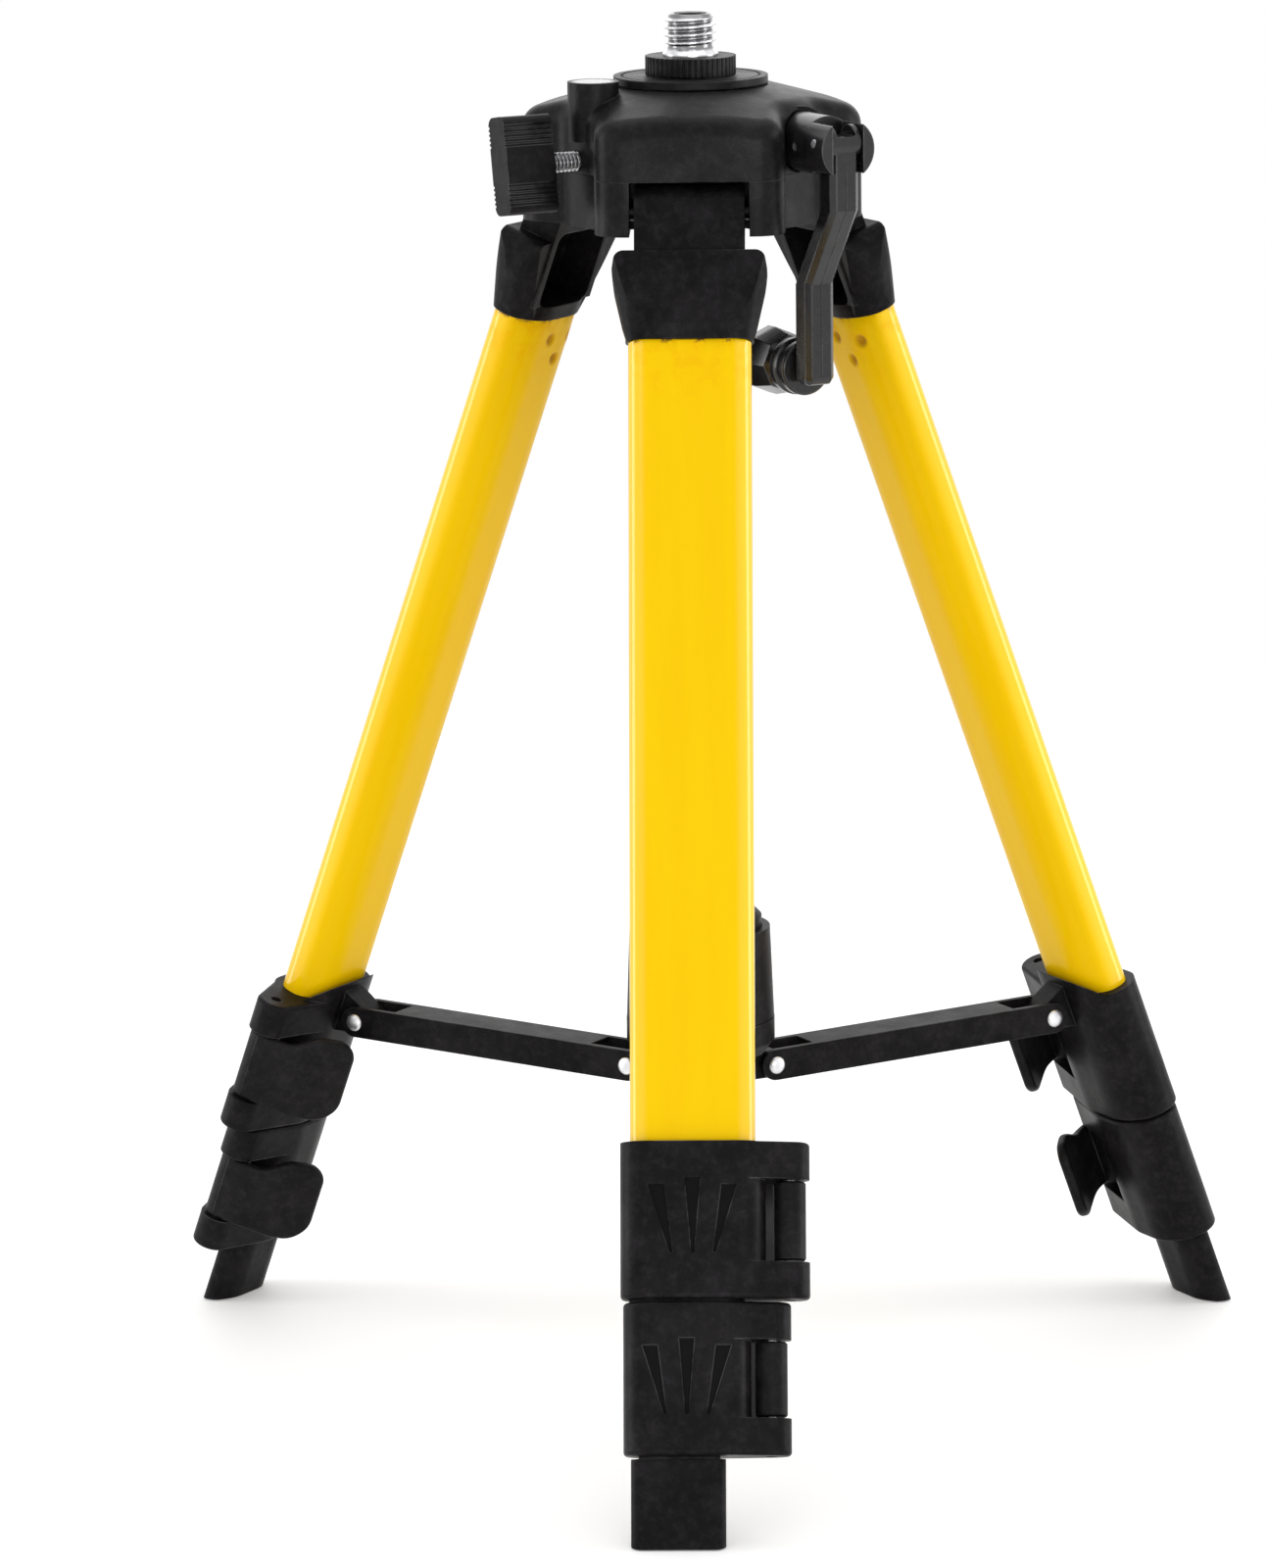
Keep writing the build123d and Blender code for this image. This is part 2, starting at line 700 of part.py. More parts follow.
with BuildPart() as bubble_vial:
    with BuildSketch(Plane.XY.offset(bubble_boss_top - lens_thickness - vial_depth)):
        with Locations(bubble_middle):
            Circle(vial_radius)
    extrude(amount=vial_depth)
save(bubble_vial, "bubble_vial")

with BuildPart() as bubble_lens:
    with BuildSketch(Plane.XY.offset(bubble_boss_top - lens_thickness)):
        with Locations(bubble_middle):
            Circle(vial_radius)
    extrude(amount=lens_thickness)
save(bubble_lens, "bubble_lens")

with BuildPart() as guide_tube:
    with BuildSketch(Plane.XY.offset(guide_bottom)):
        Circle(guide_radius)
        Circle(column_radius + 2 * pin_fit, mode=Mode.SUBTRACT)
    extrude(amount=head_parting - guide_bottom)
save(guide_tube, "guide_tube")

with BuildPart() as column_tube:
    with BuildSketch(Plane.XY.offset(column_bottom)):
        Circle(column_radius)
        Circle(column_bore, mode=Mode.SUBTRACT)
    extrude(amount=platform_bottom - column_bottom)
    rack_foot = outward(crank_azimuth + 90) * rack_flat + Vector(0, 0, column_bottom)
    with BuildSketch(Plane(rack_foot, x_dir=across(crank_azimuth + 90), z_dir=(0, 0, 1))):
        with Locations((0, -column_radius / 2)):
            Rectangle(2 * column_radius, column_radius)
    extrude(amount=platform_bottom - column_bottom, mode=Mode.SUBTRACT)
save(column_tube, "column_tube")

with BuildPart() as platform:
    with BuildSketch(Plane.XY.offset(platform_bottom)):
        Circle(platform_radius)
    extrude(amount=platform_top - platform_bottom)
    with BuildSketch(Plane.XY.offset(platform_bottom)):
        Circle(column_bore - press)
    extrude(amount=-platform_plug)
    with BuildSketch(Plane.XY.offset(platform_top - ring_groove_depth)):
        for radius in ring_grooves:
            Circle(radius + ring_groove_width / 2)
            Circle(radius - ring_groove_width / 2, mode=Mode.SUBTRACT)
    extrude(amount=ring_groove_depth, mode=Mode.SUBTRACT)
    with BuildSketch(Plane.XY.offset(platform_bottom - platform_plug)):
        Circle(screw_radius + pin_fit)
    extrude(amount=platform_plug + platform_top - platform_bottom, mode=Mode.SUBTRACT)
save(platform, "platform")

with BuildPart() as captive_screw:
    with BuildSketch(Plane.XY.offset(platform_bottom - platform_plug)):
        Circle(screw_radius)
    extrude(amount=stud_top - stud_hole_depth - platform_bottom + platform_plug)
save(captive_screw, "captive_screw")

with BuildPart() as thumb_wheel:
    with BuildSketch(Plane.XY.offset(wheel_bottom)):
        Circle(wheel_radius)
        with PolarLocations(wheel_radius, wheel_ribs):
            Circle(wheel_rib_depth, mode=Mode.SUBTRACT)
        Circle(screw_radius + press, mode=Mode.SUBTRACT)
    extrude(amount=wheel_top - wheel_bottom)
save(thumb_wheel, "thumb_wheel")

with BuildPart() as adapter_stud:
    with BuildSketch(Plane.XZ):
        with BuildLine():
            Polyline(
                (screw_radius + press, wheel_top),
                (stud_radius + 1, wheel_top),
                (stud_root, wheel_top + 2),
                (stud_root, stud_thread_bottom),
                (stud_radius, stud_thread_bottom),
                (stud_radius, stud_top - stud_chamfer),
                (stud_radius - stud_chamfer, stud_top),
                (stud_hole, stud_top),
                (stud_hole, stud_top - stud_hole_depth),
                (screw_radius + press, stud_top - stud_hole_depth),
                close=True,
            )
        make_face()
    revolve(axis=Axis.Z)
save(adapter_stud, "adapter_stud")

with BuildPart() as pinion_shaft:
    with BuildSketch(crank_round(-pinion_half)):
        Circle(pinion_radius)
    extrude(amount=2 * pinion_half)
    with BuildSketch(crank_round(0)):
        Circle(shaft_radius)
    extrude(amount=shaft_end)
    with BuildSketch(crank_side):
        with Locations((cross_pin_along, 0)):
            Circle(crank_pin_radius + press)
    extrude(amount=crank_hub_radius, both=True, mode=Mode.SUBTRACT)
save(pinion_shaft, "pinion_shaft")

with BuildPart() as crank_hub:
    with BuildSketch(crank_round(hub_start)):
        Circle(crank_hub_radius)
    extrude(amount=crank_hub_end - hub_start)
    with BuildSketch(crank_round(hub_start)):
        Circle(shaft_radius + press)
    extrude(amount=shaft_end - hub_start, mode=Mode.SUBTRACT)
    with BuildSketch(crank_round(crank_hub_end - fork_depth)):
        with Locations((0, 0)):
            Rectangle(fork_slot, 3 * crank_hub_radius)
    extrude(amount=fork_depth, mode=Mode.SUBTRACT)
    with BuildSketch(crank_side):
        with Locations((cross_pin_along, 0), (crank_pin_along, crank_pin_height)):
            Circle(crank_pin_radius + press)
    extrude(amount=crank_hub_radius, both=True, mode=Mode.SUBTRACT)
save(crank_hub, "crank_hub")

with BuildPart() as crank_pins:
    with BuildSketch(crank_side):
        with Locations((cross_pin_along, 0), (crank_pin_along, crank_pin_height)):
            Circle(crank_pin_radius)
    extrude(amount=crank_hub_radius - 0.3, both=True)
save(crank_pins, "crank_pins")

arm_low = crank_pin_along - arm_step_in
grip_start = arm_low - arm_thickness / 2 - running_gap
arm_bottom = crank_pin_height - arm_length
with BuildPart() as crank_arm:
    with BuildSketch(crank_side) as outline:
        half = arm_thickness / 2
        Polygon(
            (crank_pin_along - half, crank_pin_height),
            (crank_pin_along + half, crank_pin_height),
            (crank_pin_along + half, crank_pin_height - arm_step_top),
            (arm_low + half, crank_pin_height - arm_step_bottom),
            (arm_low + half, arm_bottom - half),
            (arm_low - half, arm_bottom - half),
            (arm_low - half, crank_pin_height - arm_step_bottom),
            (crank_pin_along - half, crank_pin_height - arm_step_top),
            align=Align.NONE,
        )
        fillet(outline.vertices().sort_by(Axis.Y)[:2], half * 0.6)
        with Locations((crank_pin_along, crank_pin_height)):
            Circle(arm_eye_radius)
            Circle(crank_pin_radius + pin_fit, mode=Mode.SUBTRACT)
    extrude(amount=arm_width / 2, both=True)
    cheeks = crank_arm.faces().filter_by(lambda f: abs(f.normal_at().dot(across(crank_azimuth))) > 0.99)
    chamfer(cheeks.edges().filter_by(GeomType.LINE), arm_bevel)
    with BuildSketch(crank_side):
        with Locations((crank_pin_along, crank_pin_height + arm_eye_radius - arm_notch)):
            Rectangle(3 * arm_eye_radius, 2 * arm_notch, align=(Align.CENTER, Align.MIN))
    extrude(amount=arm_width / 2 - arm_ear, both=True, mode=Mode.SUBTRACT)
    with BuildSketch(crank_round(grip_end)):
        with Locations((0, arm_bottom)):
            Circle(spigot_radius)
    extrude(amount=arm_low - grip_end)
save(crank_arm, "crank_arm")

with BuildPart() as crank_grip:
    with BuildSketch(crank_side):
        with BuildLine():
            bore = arm_bottom - spigot_radius - pin_fit
            waist = arm_bottom - grip_radius * 0.8
            full = arm_bottom - grip_radius
            Polyline(
                (grip_start, bore),
                (grip_start, full - 0.8),
                (grip_start - 3, full - 0.8),
                (grip_start - 4, waist),
                (grip_start - 7, waist),
                (grip_start - 8, full),
                (grip_end + 2, full),
                (grip_end, waist),
                (grip_end, bore),
                close=True,
            )
        make_face()
    grip_axis = Axis(crank_foot + Vector(0, 0, arm_bottom), outward(crank_azimuth))
    revolve(axis=grip_axis)
save(crank_grip, "crank_grip")

with BuildPart() as lock_screw:
    with BuildSketch(lock_round(lock_screw_tip)):
        Circle(lock_screw_radius)
    extrude(amount=lock_screw_end - lock_screw_tip)
save(lock_screw, "lock_screw")

with BuildPart() as lock_knob:
    with BuildSketch(lock_round(knob_start)):
        RectangleRounded(knob_thickness, knob_height, knob_corner, rotation=knob_turn)
    extrude(amount=knob_length)
    with BuildSketch(lock_round(knob_start)):
        with Locations(Location((0, 0), knob_turn)):
            for rib in range(knob_ribs):
                height = knob_height / 2 - knob_corner - rib * knob_rib_pitch
                with GridLocations(knob_thickness, 2 * height, 2, 2):
                    Rectangle(2 * knob_rib_depth, knob_rib_pitch / 2)
    extrude(amount=knob_length, mode=Mode.SUBTRACT)
    with BuildSketch(lock_round(knob_start)):
        Circle(lock_screw_radius + pin_fit)
    extrude(amount=lock_screw_end - knob_start, mode=Mode.SUBTRACT)
save(lock_knob, "lock_knob")

hub_core_radius = guide_radius + 2 * pin_fit + hub_core_wall
with BuildPart() as spreader_hub:
    with BuildSketch(Plane.XY.offset(hub_bottom)):
        Circle(hub_core_radius)
    extrude(amount=hub_flange_bottom - hub_bottom)
    with BuildSketch(Plane.XZ):
        Polygon(
            (0, hub_flange_bottom),
            (hub_flange_radius - 3, hub_flange_bottom),
            (hub_flange_radius, hub_flange_bottom + 4),
            (hub_flange_radius, sleeve_bottom - 0.3),
            (hub_neck_radius, sleeve_bottom - 0.3),
            (hub_neck_radius, hub_neck_top - 1.5),
            (hub_neck_radius - 1.5, hub_neck_top),
            (0, hub_neck_top),
            align=Align.NONE,
        )
    revolve(axis=Axis.Z)
    for azimuth in leg_azimuths.values():
        with BuildSketch(Plane((0, 0, hub_pivot_height), x_dir=outward(azimuth), z_dir=-across(azimuth))):
            with Locations((hub_pivot_radius, 0)):
                Circle(tongue_radius)
            with Locations((hub_pivot_radius, 0)):
                reach = hub_pivot_radius - guide_radius
                Rectangle(reach, 2 * tongue_radius, align=(Align.MAX, Align.CENTER))
        extrude(amount=strut_width / 2 - strut_cheek - slide_gap, both=True)
    with BuildSketch(Plane.XY.offset(hub_bottom)):
        Circle(guide_radius + 2 * pin_fit)
    extrude(amount=hub_neck_top - hub_bottom, mode=Mode.SUBTRACT)
save(spreader_hub, "spreader_hub")

with BuildPart() as hub_sleeve:
    with BuildSketch(Plane.XZ):
        Polygon(
            (hub_neck_radius + press, sleeve_bottom),
            (sleeve_radius_bottom, sleeve_bottom),
            (sleeve_radius_top, sleeve_top),
            (hub_neck_radius + press, sleeve_top),
            align=Align.NONE,
        )
    revolve(axis=Axis.Z)
save(hub_sleeve, "hub_sleeve")
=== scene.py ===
import math
import bmesh
import bpy
from mathutils import Matrix, Vector


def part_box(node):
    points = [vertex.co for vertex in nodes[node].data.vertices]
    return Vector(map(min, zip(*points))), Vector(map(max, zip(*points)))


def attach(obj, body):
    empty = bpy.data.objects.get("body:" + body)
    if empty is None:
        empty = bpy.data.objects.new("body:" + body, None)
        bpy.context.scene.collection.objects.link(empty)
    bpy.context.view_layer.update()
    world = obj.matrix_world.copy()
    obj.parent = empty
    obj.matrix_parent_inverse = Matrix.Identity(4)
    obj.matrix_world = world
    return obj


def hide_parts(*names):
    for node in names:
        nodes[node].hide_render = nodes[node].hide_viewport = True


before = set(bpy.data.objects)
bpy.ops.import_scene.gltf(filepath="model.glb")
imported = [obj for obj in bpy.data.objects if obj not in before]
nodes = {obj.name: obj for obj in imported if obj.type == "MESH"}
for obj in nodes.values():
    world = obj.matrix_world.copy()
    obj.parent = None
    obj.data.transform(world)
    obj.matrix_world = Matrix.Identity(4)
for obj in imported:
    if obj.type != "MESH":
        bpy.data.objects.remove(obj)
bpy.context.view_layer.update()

mm = 0.001
legs = {"front": 270, "right": 30, "left": 150}  # azimuth of each leg
legTilt = math.radians(20.8)
hingeRadius, hingeHeight = 38.0, 363.0  # where the legs turn in the head, in millimetres


class Wire:  # an output socket that works in sums
    def __init__(self, finish, socket):
        self.finish, self.socket = finish, socket

    def maths(self, operation, *values):
        return self.finish.node("ShaderNodeMath", {"operation": operation}, dict(enumerate(values)))

    def __add__(self, other):
        return self.maths("ADD", self, other)

    def __radd__(self, other):
        return self.maths("ADD", other, self)

    def __sub__(self, other):
        return self.maths("SUBTRACT", self, other)

    def __rsub__(self, other):
        return self.maths("SUBTRACT", other, self)

    def __mul__(self, other):
        return self.maths("MULTIPLY", self, other)

    def __rmul__(self, other):
        return self.maths("MULTIPLY", other, self)

    def __truediv__(self, other):
        return self.maths("DIVIDE", self, other)

    def __rtruediv__(self, other):
        return self.maths("DIVIDE", other, self)

    def __pow__(self, other):
        return self.maths("POWER", self, other)

    def __rpow__(self, other):
        return self.maths("POWER", other, self)

    def __abs__(self):
        return self.maths("ABSOLUTE", self)

    def sine(self):
        return self.maths("SINE", self)

    def most(self, other):
        return self.maths("MAXIMUM", self, other)

    def step(self, low, high):  # 0 under low, 1 over high
        return self.finish.node("ShaderNodeMapRange", {"clamp": True, "interpolation_type": "SMOOTHSTEP"},
                                {"Value": self, "From Min": low, "From Max": high})


edgeLook = {"samples": 6, "wornStart": 0.02, "wornEnd": 0.2}


class Finish:  # a node tree with one way to add a node
    def __init__(self, name, tree=None):
        if tree is None:
            self.material = bpy.data.materials.new(name)
            self.material.use_nodes = True
            tree = self.material.node_tree
        self.tree = tree
        tree.nodes.clear()

    def node(self, kind, settings=None, sockets=None, out=0):
        made = self.tree.nodes.new(kind)
        for key, value in (settings or {}).items():
            setattr(made, key, value)
        for key, value in (sockets or {}).items():
            if isinstance(value, Wire):
                self.tree.links.new(value.socket, made.inputs[key])
            else:
                made.inputs[key].default_value = value
        return Wire(self, made.outputs[out]) if made.outputs else None

    def place(self):
        return self.node("ShaderNodeTexCoord", out="Object")

    def noise(self, where, scale, detail=2.0, roughness=0.5):
        return self.node("ShaderNodeTexNoise", None,
                         {"Vector": where, "Scale": scale, "Detail": detail, "Roughness": roughness})

    def turned(self, where, matrix):  # object place seen in a piece's own axes, in metres
        return self.node("ShaderNodeMapping", {"vector_type": "TEXTURE"},
                         {"Vector": where, "Location": matrix.translation, "Rotation": matrix.to_euler()})

    def parts(self, vector):
        split = self.node("ShaderNodeSeparateXYZ", None, {0: vector})
        return [Wire(self, output) for output in split.socket.node.outputs]

    def joined(self, x, y, z):
        return self.node("ShaderNodeCombineXYZ", None, {0: x, 1: y, 2: z})

    def blend(self, factor, first, second):
        return self.node("ShaderNodeMix", {"data_type": "RGBA"}, {0: factor, 6: first, 7: second}, out=2)

    def softEdge(self, radius):
        return self.node("ShaderNodeBevel", {"samples": edgeLook["samples"]}, {"Radius": radius})

    def wornEdge(self, soft):  # 1 along sharp edges, 0 on open faces
        flat = self.node("ShaderNodeNewGeometry", out="Normal")
        along = self.node("ShaderNodeVectorMath", {"operation": "DOT_PRODUCT"}, {0: soft, 1: flat}, "Value")
        return (1 - along).step(edgeLook["wornStart"], edgeLook["wornEnd"])

    def bump(self, height, distance, normal=None):
        sockets = {"Height": height, "Distance": distance}
        if normal is not None:
            sockets["Normal"] = normal
        return self.node("ShaderNodeBump", None, sockets)

    def seen(self):  # 1 for what the camera, a gloss or a glass looks at
        path = self.node("ShaderNodeLightPath").socket.node.outputs
        rays = [Wire(self, path[name]) for name in ("Is Camera Ray", "Is Glossy Ray", "Is Transmission Ray")]
        return rays[0].most(rays[1]).most(rays[2])

    def close(self, sockets):
        shader = self.node("ShaderNodeBsdfPrincipled", None, sockets)
        self.node("ShaderNodeOutputMaterial", None, {"Surface": shader})
        return self.material


def grey(level):
    return (level, level, level, 1.0)


def polar(azimuth, radius=1.0, height=0.0):
    turn = math.radians(azimuth)
    return Vector((radius * math.cos(turn), radius * math.sin(turn), height))


def legMatrix(azimuth):  # x to the lever side, y outward, z down the leg, in metres
    out = polar(azimuth)
    side = Vector((-out.y, out.x, 0))
    down = out * math.sin(legTilt) - Vector((0, 0, math.cos(legTilt)))
    face = down.cross(side)
    matrix = Matrix((side, face, down)).transposed().to_4x4()
    matrix.translation = (out * hingeRadius + Vector((0, 0, hingeHeight))) * mm
    return matrix


def axisMatrix(spot, along, up=Vector((0, 0, 1))):  # z along, origin at spot, from millimetres
    along = along.normalized()
    side = up.cross(along).normalized()
    matrix = Matrix((side, along.cross(side), along)).transposed().to_4x4()
    matrix.translation = spot * mm
    return matrix


grooveLook = {"fan": 9.5, "width": 2.2, "tip": 0.4, "length": 21.5, "pull": 0.35, "late": 2.0, "spread": 1.0,
              "edgeRange": (-0.05, 0.1), "endBlur": 0.01, "faceRange": (9.0, 9.3),
              "collars": ((285.2, 0.0), (331.0, -1.8))}  # where each fan starts down the leg, and its middle


def grooveShadeMask(finish, where, matrix):  # 1 on the floors of the collars' fan grooves, the mask for their painted shade
    look, found = grooveLook, None
    fan, width, spread, blur = look["fan"], look["width"], look["spread"], look["endBlur"]
    side, face, down = [part / mm for part in finish.parts(finish.turned(where, matrix))]
    for start, middle in look["collars"]:
        for turn in (-1, 0, 1):
            top = start + look["late"] * abs(turn)
            share = (down - top) / (start + look["length"] - top)
            centre = middle + turn * (fan + spread) - share * (turn * (spread + fan * look["pull"]))
            room = width - share * (width - look["tip"]) - abs(side - centre)
            inside = room.step(*look["edgeRange"]) * share.step(-blur, blur)
            inside = inside * (1 - share.step(1 - blur, 1 + blur))
            found = inside if found is None else found.most(inside)
    return found * face.step(*look["faceRange"])


blackLook = {"base": (0.0042, 0.0038, 0.0042, 1), "scuffed": (0.023, 0.021, 0.023, 1), "worn": grey(0.12),
             "dusty": grey(0.12), "grooveShade": grey(0.0012), "edge": 0.0006, "specular": 0.065,
             "cloud": (70.0, 4.0, 0.6), "grain": (1500.0, 2.0, 0.6),  # scale, detail and roughness
             "dust": (420.0, 3.0, 0.7), "mottle": (340.0, 5.0, 0.75),
             "scuffRange": (0.36, 0.72), "mottleRange": (0.42, 0.72), "dustRange": (0.66, 0.78),
             "wornRange": (0.4, 0.62), "glossRange": (0.3, 0.75),
             "scuffShare": 0.4, "mottleShare": 0.45, "dustShare": 0.1, "grooveShadeShare": 0.8,
             "roughness": 0.4, "cloudGloss": 0.1, "grainGloss": 0.1, "edgeGloss": 0.08,
             "grainDepth": 0.00003, "ringPitch": 0.0011, "ringDepth": 0.00012}


def blackPlastic(name, glossShift=0.0, grainShare=1.0, shine=1.0, rubbed=0.5, ringed=False, legAxes=None):
    look, finish = blackLook, Finish(name)
    where = finish.place()
    soft = finish.softEdge(look["edge"])
    cloud = finish.noise(where, *look["cloud"])
    grain = finish.noise(where, *look["grain"])
    dust = finish.noise(where, *look["dust"]).step(*look["dustRange"])
    mottle = finish.noise(where, *look["mottle"]).step(*look["mottleRange"])
    edge = finish.wornEdge(soft) * cloud.step(*look["wornRange"])
    scuffs = cloud.step(*look["scuffRange"]) * look["scuffShare"] + mottle * look["mottleShare"]
    colour = finish.blend(scuffs, look["base"], look["scuffed"])
    colour = finish.blend(dust * look["dustShare"], colour, look["dusty"])
    colour = finish.blend(edge * rubbed, colour, look["worn"])
    polish = cloud.step(*look["glossRange"]) * look["cloudGloss"]
    gloss = look["roughness"] + glossShift - polish + grain * look["grainGloss"] - edge * look["edgeGloss"]
    if legAxes is not None:
        # painted shade: the floors of the collars' fan grooves are darkened to near black
        paintedGrooveShade = grooveShadeMask(finish, where, legAxes) * look["grooveShadeShare"]
        colour = finish.blend(paintedGrooveShade, colour, look["grooveShade"])
    relief = finish.bump(grain, look["grainDepth"] * grainShare, soft)
    if ringed:  # fine turned rings round the column
        x, y = finish.parts(where)[:2]
        rings = ((x * x + y * y) ** 0.5 * (2 * math.pi / look["ringPitch"])).sine()
        relief = finish.bump(rings, look["ringDepth"], relief)
    return finish.close({"Base Color": colour, "Roughness": gloss, "Normal": relief,
                         "Specular IOR Level": look["specular"] * shine})


tubeLook = {"upper": (36.0, 21.0, 14.2, 5.0, 0.0),  # widths outward and inward, depth, corner, shift
            "middle": (28.5, 15.0, 11.0, 4.0, -1.8), "lower": (19.4, 8.6, 7.8, 2.6, -4.1),
            "drop": 0.1, "inwardRound": 3.5, "offset": 1.9, "wall": 1.2, "top": 40.1, "foot": 286.7,
            "span": 0.7, "topGap": 0.02, "footGap": 0.05, "edgeDrop": 0.35, "edgeRound": 0.25,
            "fineStart": 44.5, "fineStep": 0.6, "fineCount": 24,
            "stations": (70.0, 110.0, 170.0, 230.0, 270.0),
            "dents": ((0.8, 47.5), (-11.0, 48.0), (-4.6, 54.5)),  # side and distance down the leg
            "dentRadius": 2.5, "dentDepth": 1.0, "dentReach": 1.6, "dentSide": 2.0,
            "rimRise": 0.12, "rimPlace": 1.1, "rimWidth": 0.22}
paintLook = {"base": (0.98, 0.62, 0.0, 1), "deep": (0.93, 0.47, 0.0, 1), "chip": (0.16, 0.085, 0.02, 1),
             "dentShade": (0.42, 0.16, 0.01, 1), "specular": 0.05, "coatRoughness": 0.035, "coatIor": 1.5,
             "peel": (700.0, 2.0), "peelDepth": 0.000012, "blotch": (260.0, 4.0, 0.65),
             "smear": (120.0, 3.0, 0.55), "smearStretch": 0.12, "smearRange": (0.3, 0.75), "smearShare": 0.22,
             "rubDown": (0.5, 26.0), "rubRange": (0.42, 0.7), "rubShare": 0.55,  # down from the tube's top
             "chipDown": (0.2, 1.6), "chipRange": (0.54, 0.58), "chipShare": 0.8,
             "dentShadeRange": (0.9, 2.9), "dentShadeShare": 0.55, "dentShadeBlotch": 0.4, "inwardRange": (-1.0, 0.5),
             "roughness": 0.34, "smearGloss": 0.08, "rubGloss": 0.15,
             "cornerRange": (12.5, 14.5), "outwardRange": (0.0, 4.0), "faceCoat": 0.05, "rubCoat": 0.5}


def yellowPaint(name, matrix):
    look, finish = paintLook, Finish(name)
    where = finish.place()
    side, face, down = finish.parts(finish.turned(where, matrix))
    smear = finish.noise(finish.joined(side, face, down * look["smearStretch"]), *look["smear"])
    side, face, down = [part / mm for part in (side, face, down)]
    peel = finish.noise(where, *look["peel"])
    blotch = finish.noise(where, *look["blotch"])
    rubEnds = [tubeLook["top"] + below for below in look["rubDown"]]
    chipEnds = [tubeLook["top"] + below for below in look["chipDown"]]
    rubbed = (1 - down.step(*rubEnds)) * blotch.step(*look["rubRange"])
    chip = (1 - down.step(*chipEnds)) * blotch.step(*look["chipRange"])
    colour = finish.blend(smear.step(*look["smearRange"]) * look["smearShare"], look["base"], look["deep"])
    colour = finish.blend(rubbed * look["rubShare"], colour, look["deep"])
    colour = finish.blend(chip * look["chipShare"], colour, look["chip"])
    inward = 1 - face.step(*look["inwardRange"])
    # painted shade: the dent hollows on the inward side are darkened orange-brown, with random blotches
    for spotSide, spotDown in tubeLook["dents"]:
        away = ((side - spotSide) ** 2 + (down - spotDown) ** 2) ** 0.5
        spread = (1 - away.step(*look["dentShadeRange"])) * inward
        dentShading = spread * (look["dentShadeShare"] + blotch * look["dentShadeBlotch"])
        colour = finish.blend(dentShading, colour, look["dentShade"])
    gloss = look["roughness"] + smear * look["smearGloss"] + rubbed * look["rubGloss"]
    corner = abs(side).step(*look["cornerRange"]) * face.step(*look["outwardRange"])
    coat = look["faceCoat"] + corner * (1 - look["faceCoat"])  # polished along the outer corners
    return finish.close({"Base Color": colour, "Roughness": gloss, "Specular IOR Level": look["specular"],
                         "Coat Weight": coat * (1 - rubbed * look["rubCoat"]),
                         "Coat Roughness": look["coatRoughness"], "Coat IOR": look["coatIor"],
                         "Normal": finish.bump(peel, look["peelDepth"])})


metalLook = {"steel": ((0.62, 0.62, 0.64, 1), (0.45, 0.45, 0.46, 1)),  # colour and shade of each metal
             "bright": ((0.86, 0.86, 0.88, 1), (0.68, 0.68, 0.7, 1)),
             "satin": ((0.4, 0.405, 0.41, 1), (0.35, 0.355, 0.36, 1)),
             "blackened": ((0.022, 0.021, 0.022, 1), (0.012, 0.012, 0.013, 1)),
             "edge": 0.0003, "cloud": (300.0, 3.0), "cloudRange": (0.35, 0.7), "lineGloss": 0.16,
             "valleyShade": grey(0.06), "valleyShadeShare": 0.75, "drawn": 0.01}


def metal(name, shade, gloss, along=None, lineScale=2500.0, lineDepth=0.000006, threadShade=None):
    look, finish = metalLook, Finish(name)
    where = finish.place()
    soft = finish.softEdge(look["edge"])
    lines = finish.noise(where if along is None else along(finish, where), lineScale)
    cloud = finish.noise(where, *look["cloud"])
    colour = finish.blend(cloud.step(*look["cloudRange"]), *look[shade])
    if threadShade:  # painted shade in the valleys of a thread, by distance from its axis
        axis, root, crest = threadShade
        x, y = finish.parts(finish.turned(where, axis))[:2]
        valleyShade = 1 - ((x * x + y * y) ** 0.5 / mm).step(root, crest)
        colour = finish.blend(valleyShade * look["valleyShadeShare"], colour, look["valleyShade"])
    roughness = gloss + lines * look["lineGloss"] - look["lineGloss"] / 2
    return finish.close({"Base Color": colour, "Metallic": 1.0, "Roughness": roughness,
                         "Normal": finish.bump(lines, lineDepth, soft)})


def turnedLines(finish, where):  # rings round an upright axis, as a lathe leaves them
    return finish.joined(0.0, 0.0, finish.parts(where)[2])


def drawnLines(matrix):  # lines down a leg, as extruded tube has
    def along(finish, where):
        side, face, down = finish.parts(finish.turned(where, matrix))
        return finish.joined(side, face, down * metalLook["drawn"])
    return along


vialLook = {"dull": (0.72, 0.74, 0.7, 1), "clean": (0.82, 0.83, 0.8, 1), "cloud": 400.0, "roughness": 0.35}


def vialWhite():
    look, finish = vialLook, Finish("vialWhite")
    cloud = finish.noise(finish.place(), look["cloud"])
    colour = finish.blend(cloud, look["dull"], look["clean"])
    return finish.close({"Base Color": colour, "Roughness": look["roughness"]})


lensLook = {"clear": (0.93, 0.94, 0.92, 1), "ring": grey(0.004), "ringRange": (0.84, 0.87), "cloud": 900.0,
            "roughness": 0.08, "cloudGloss": 0.08, "transmission": 0.45, "ior": 1.46}


def clearLens():  # clear in the middle, with a dark ring at the rim
    look, finish = lensLook, Finish("clearLens")
    low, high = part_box("bubble_lens")
    middleX, middleY, radius = (low[0] + high[0]) / 2, (low[1] + high[1]) / 2, (high[0] - low[0]) / 2
    where = finish.place()
    cloud = finish.noise(where, look["cloud"])
    x, y = finish.parts(where)[:2]
    away = ((x - middleX) ** 2 + (y - middleY) ** 2) ** 0.5 / radius
    colour = finish.blend(away.step(*look["ringRange"]), look["clear"], look["ring"])
    return finish.close({"Base Color": colour, "Roughness": look["roughness"] + cloud * look["cloudGloss"],
                         "Transmission Weight": look["transmission"], "IOR": look["ior"]})


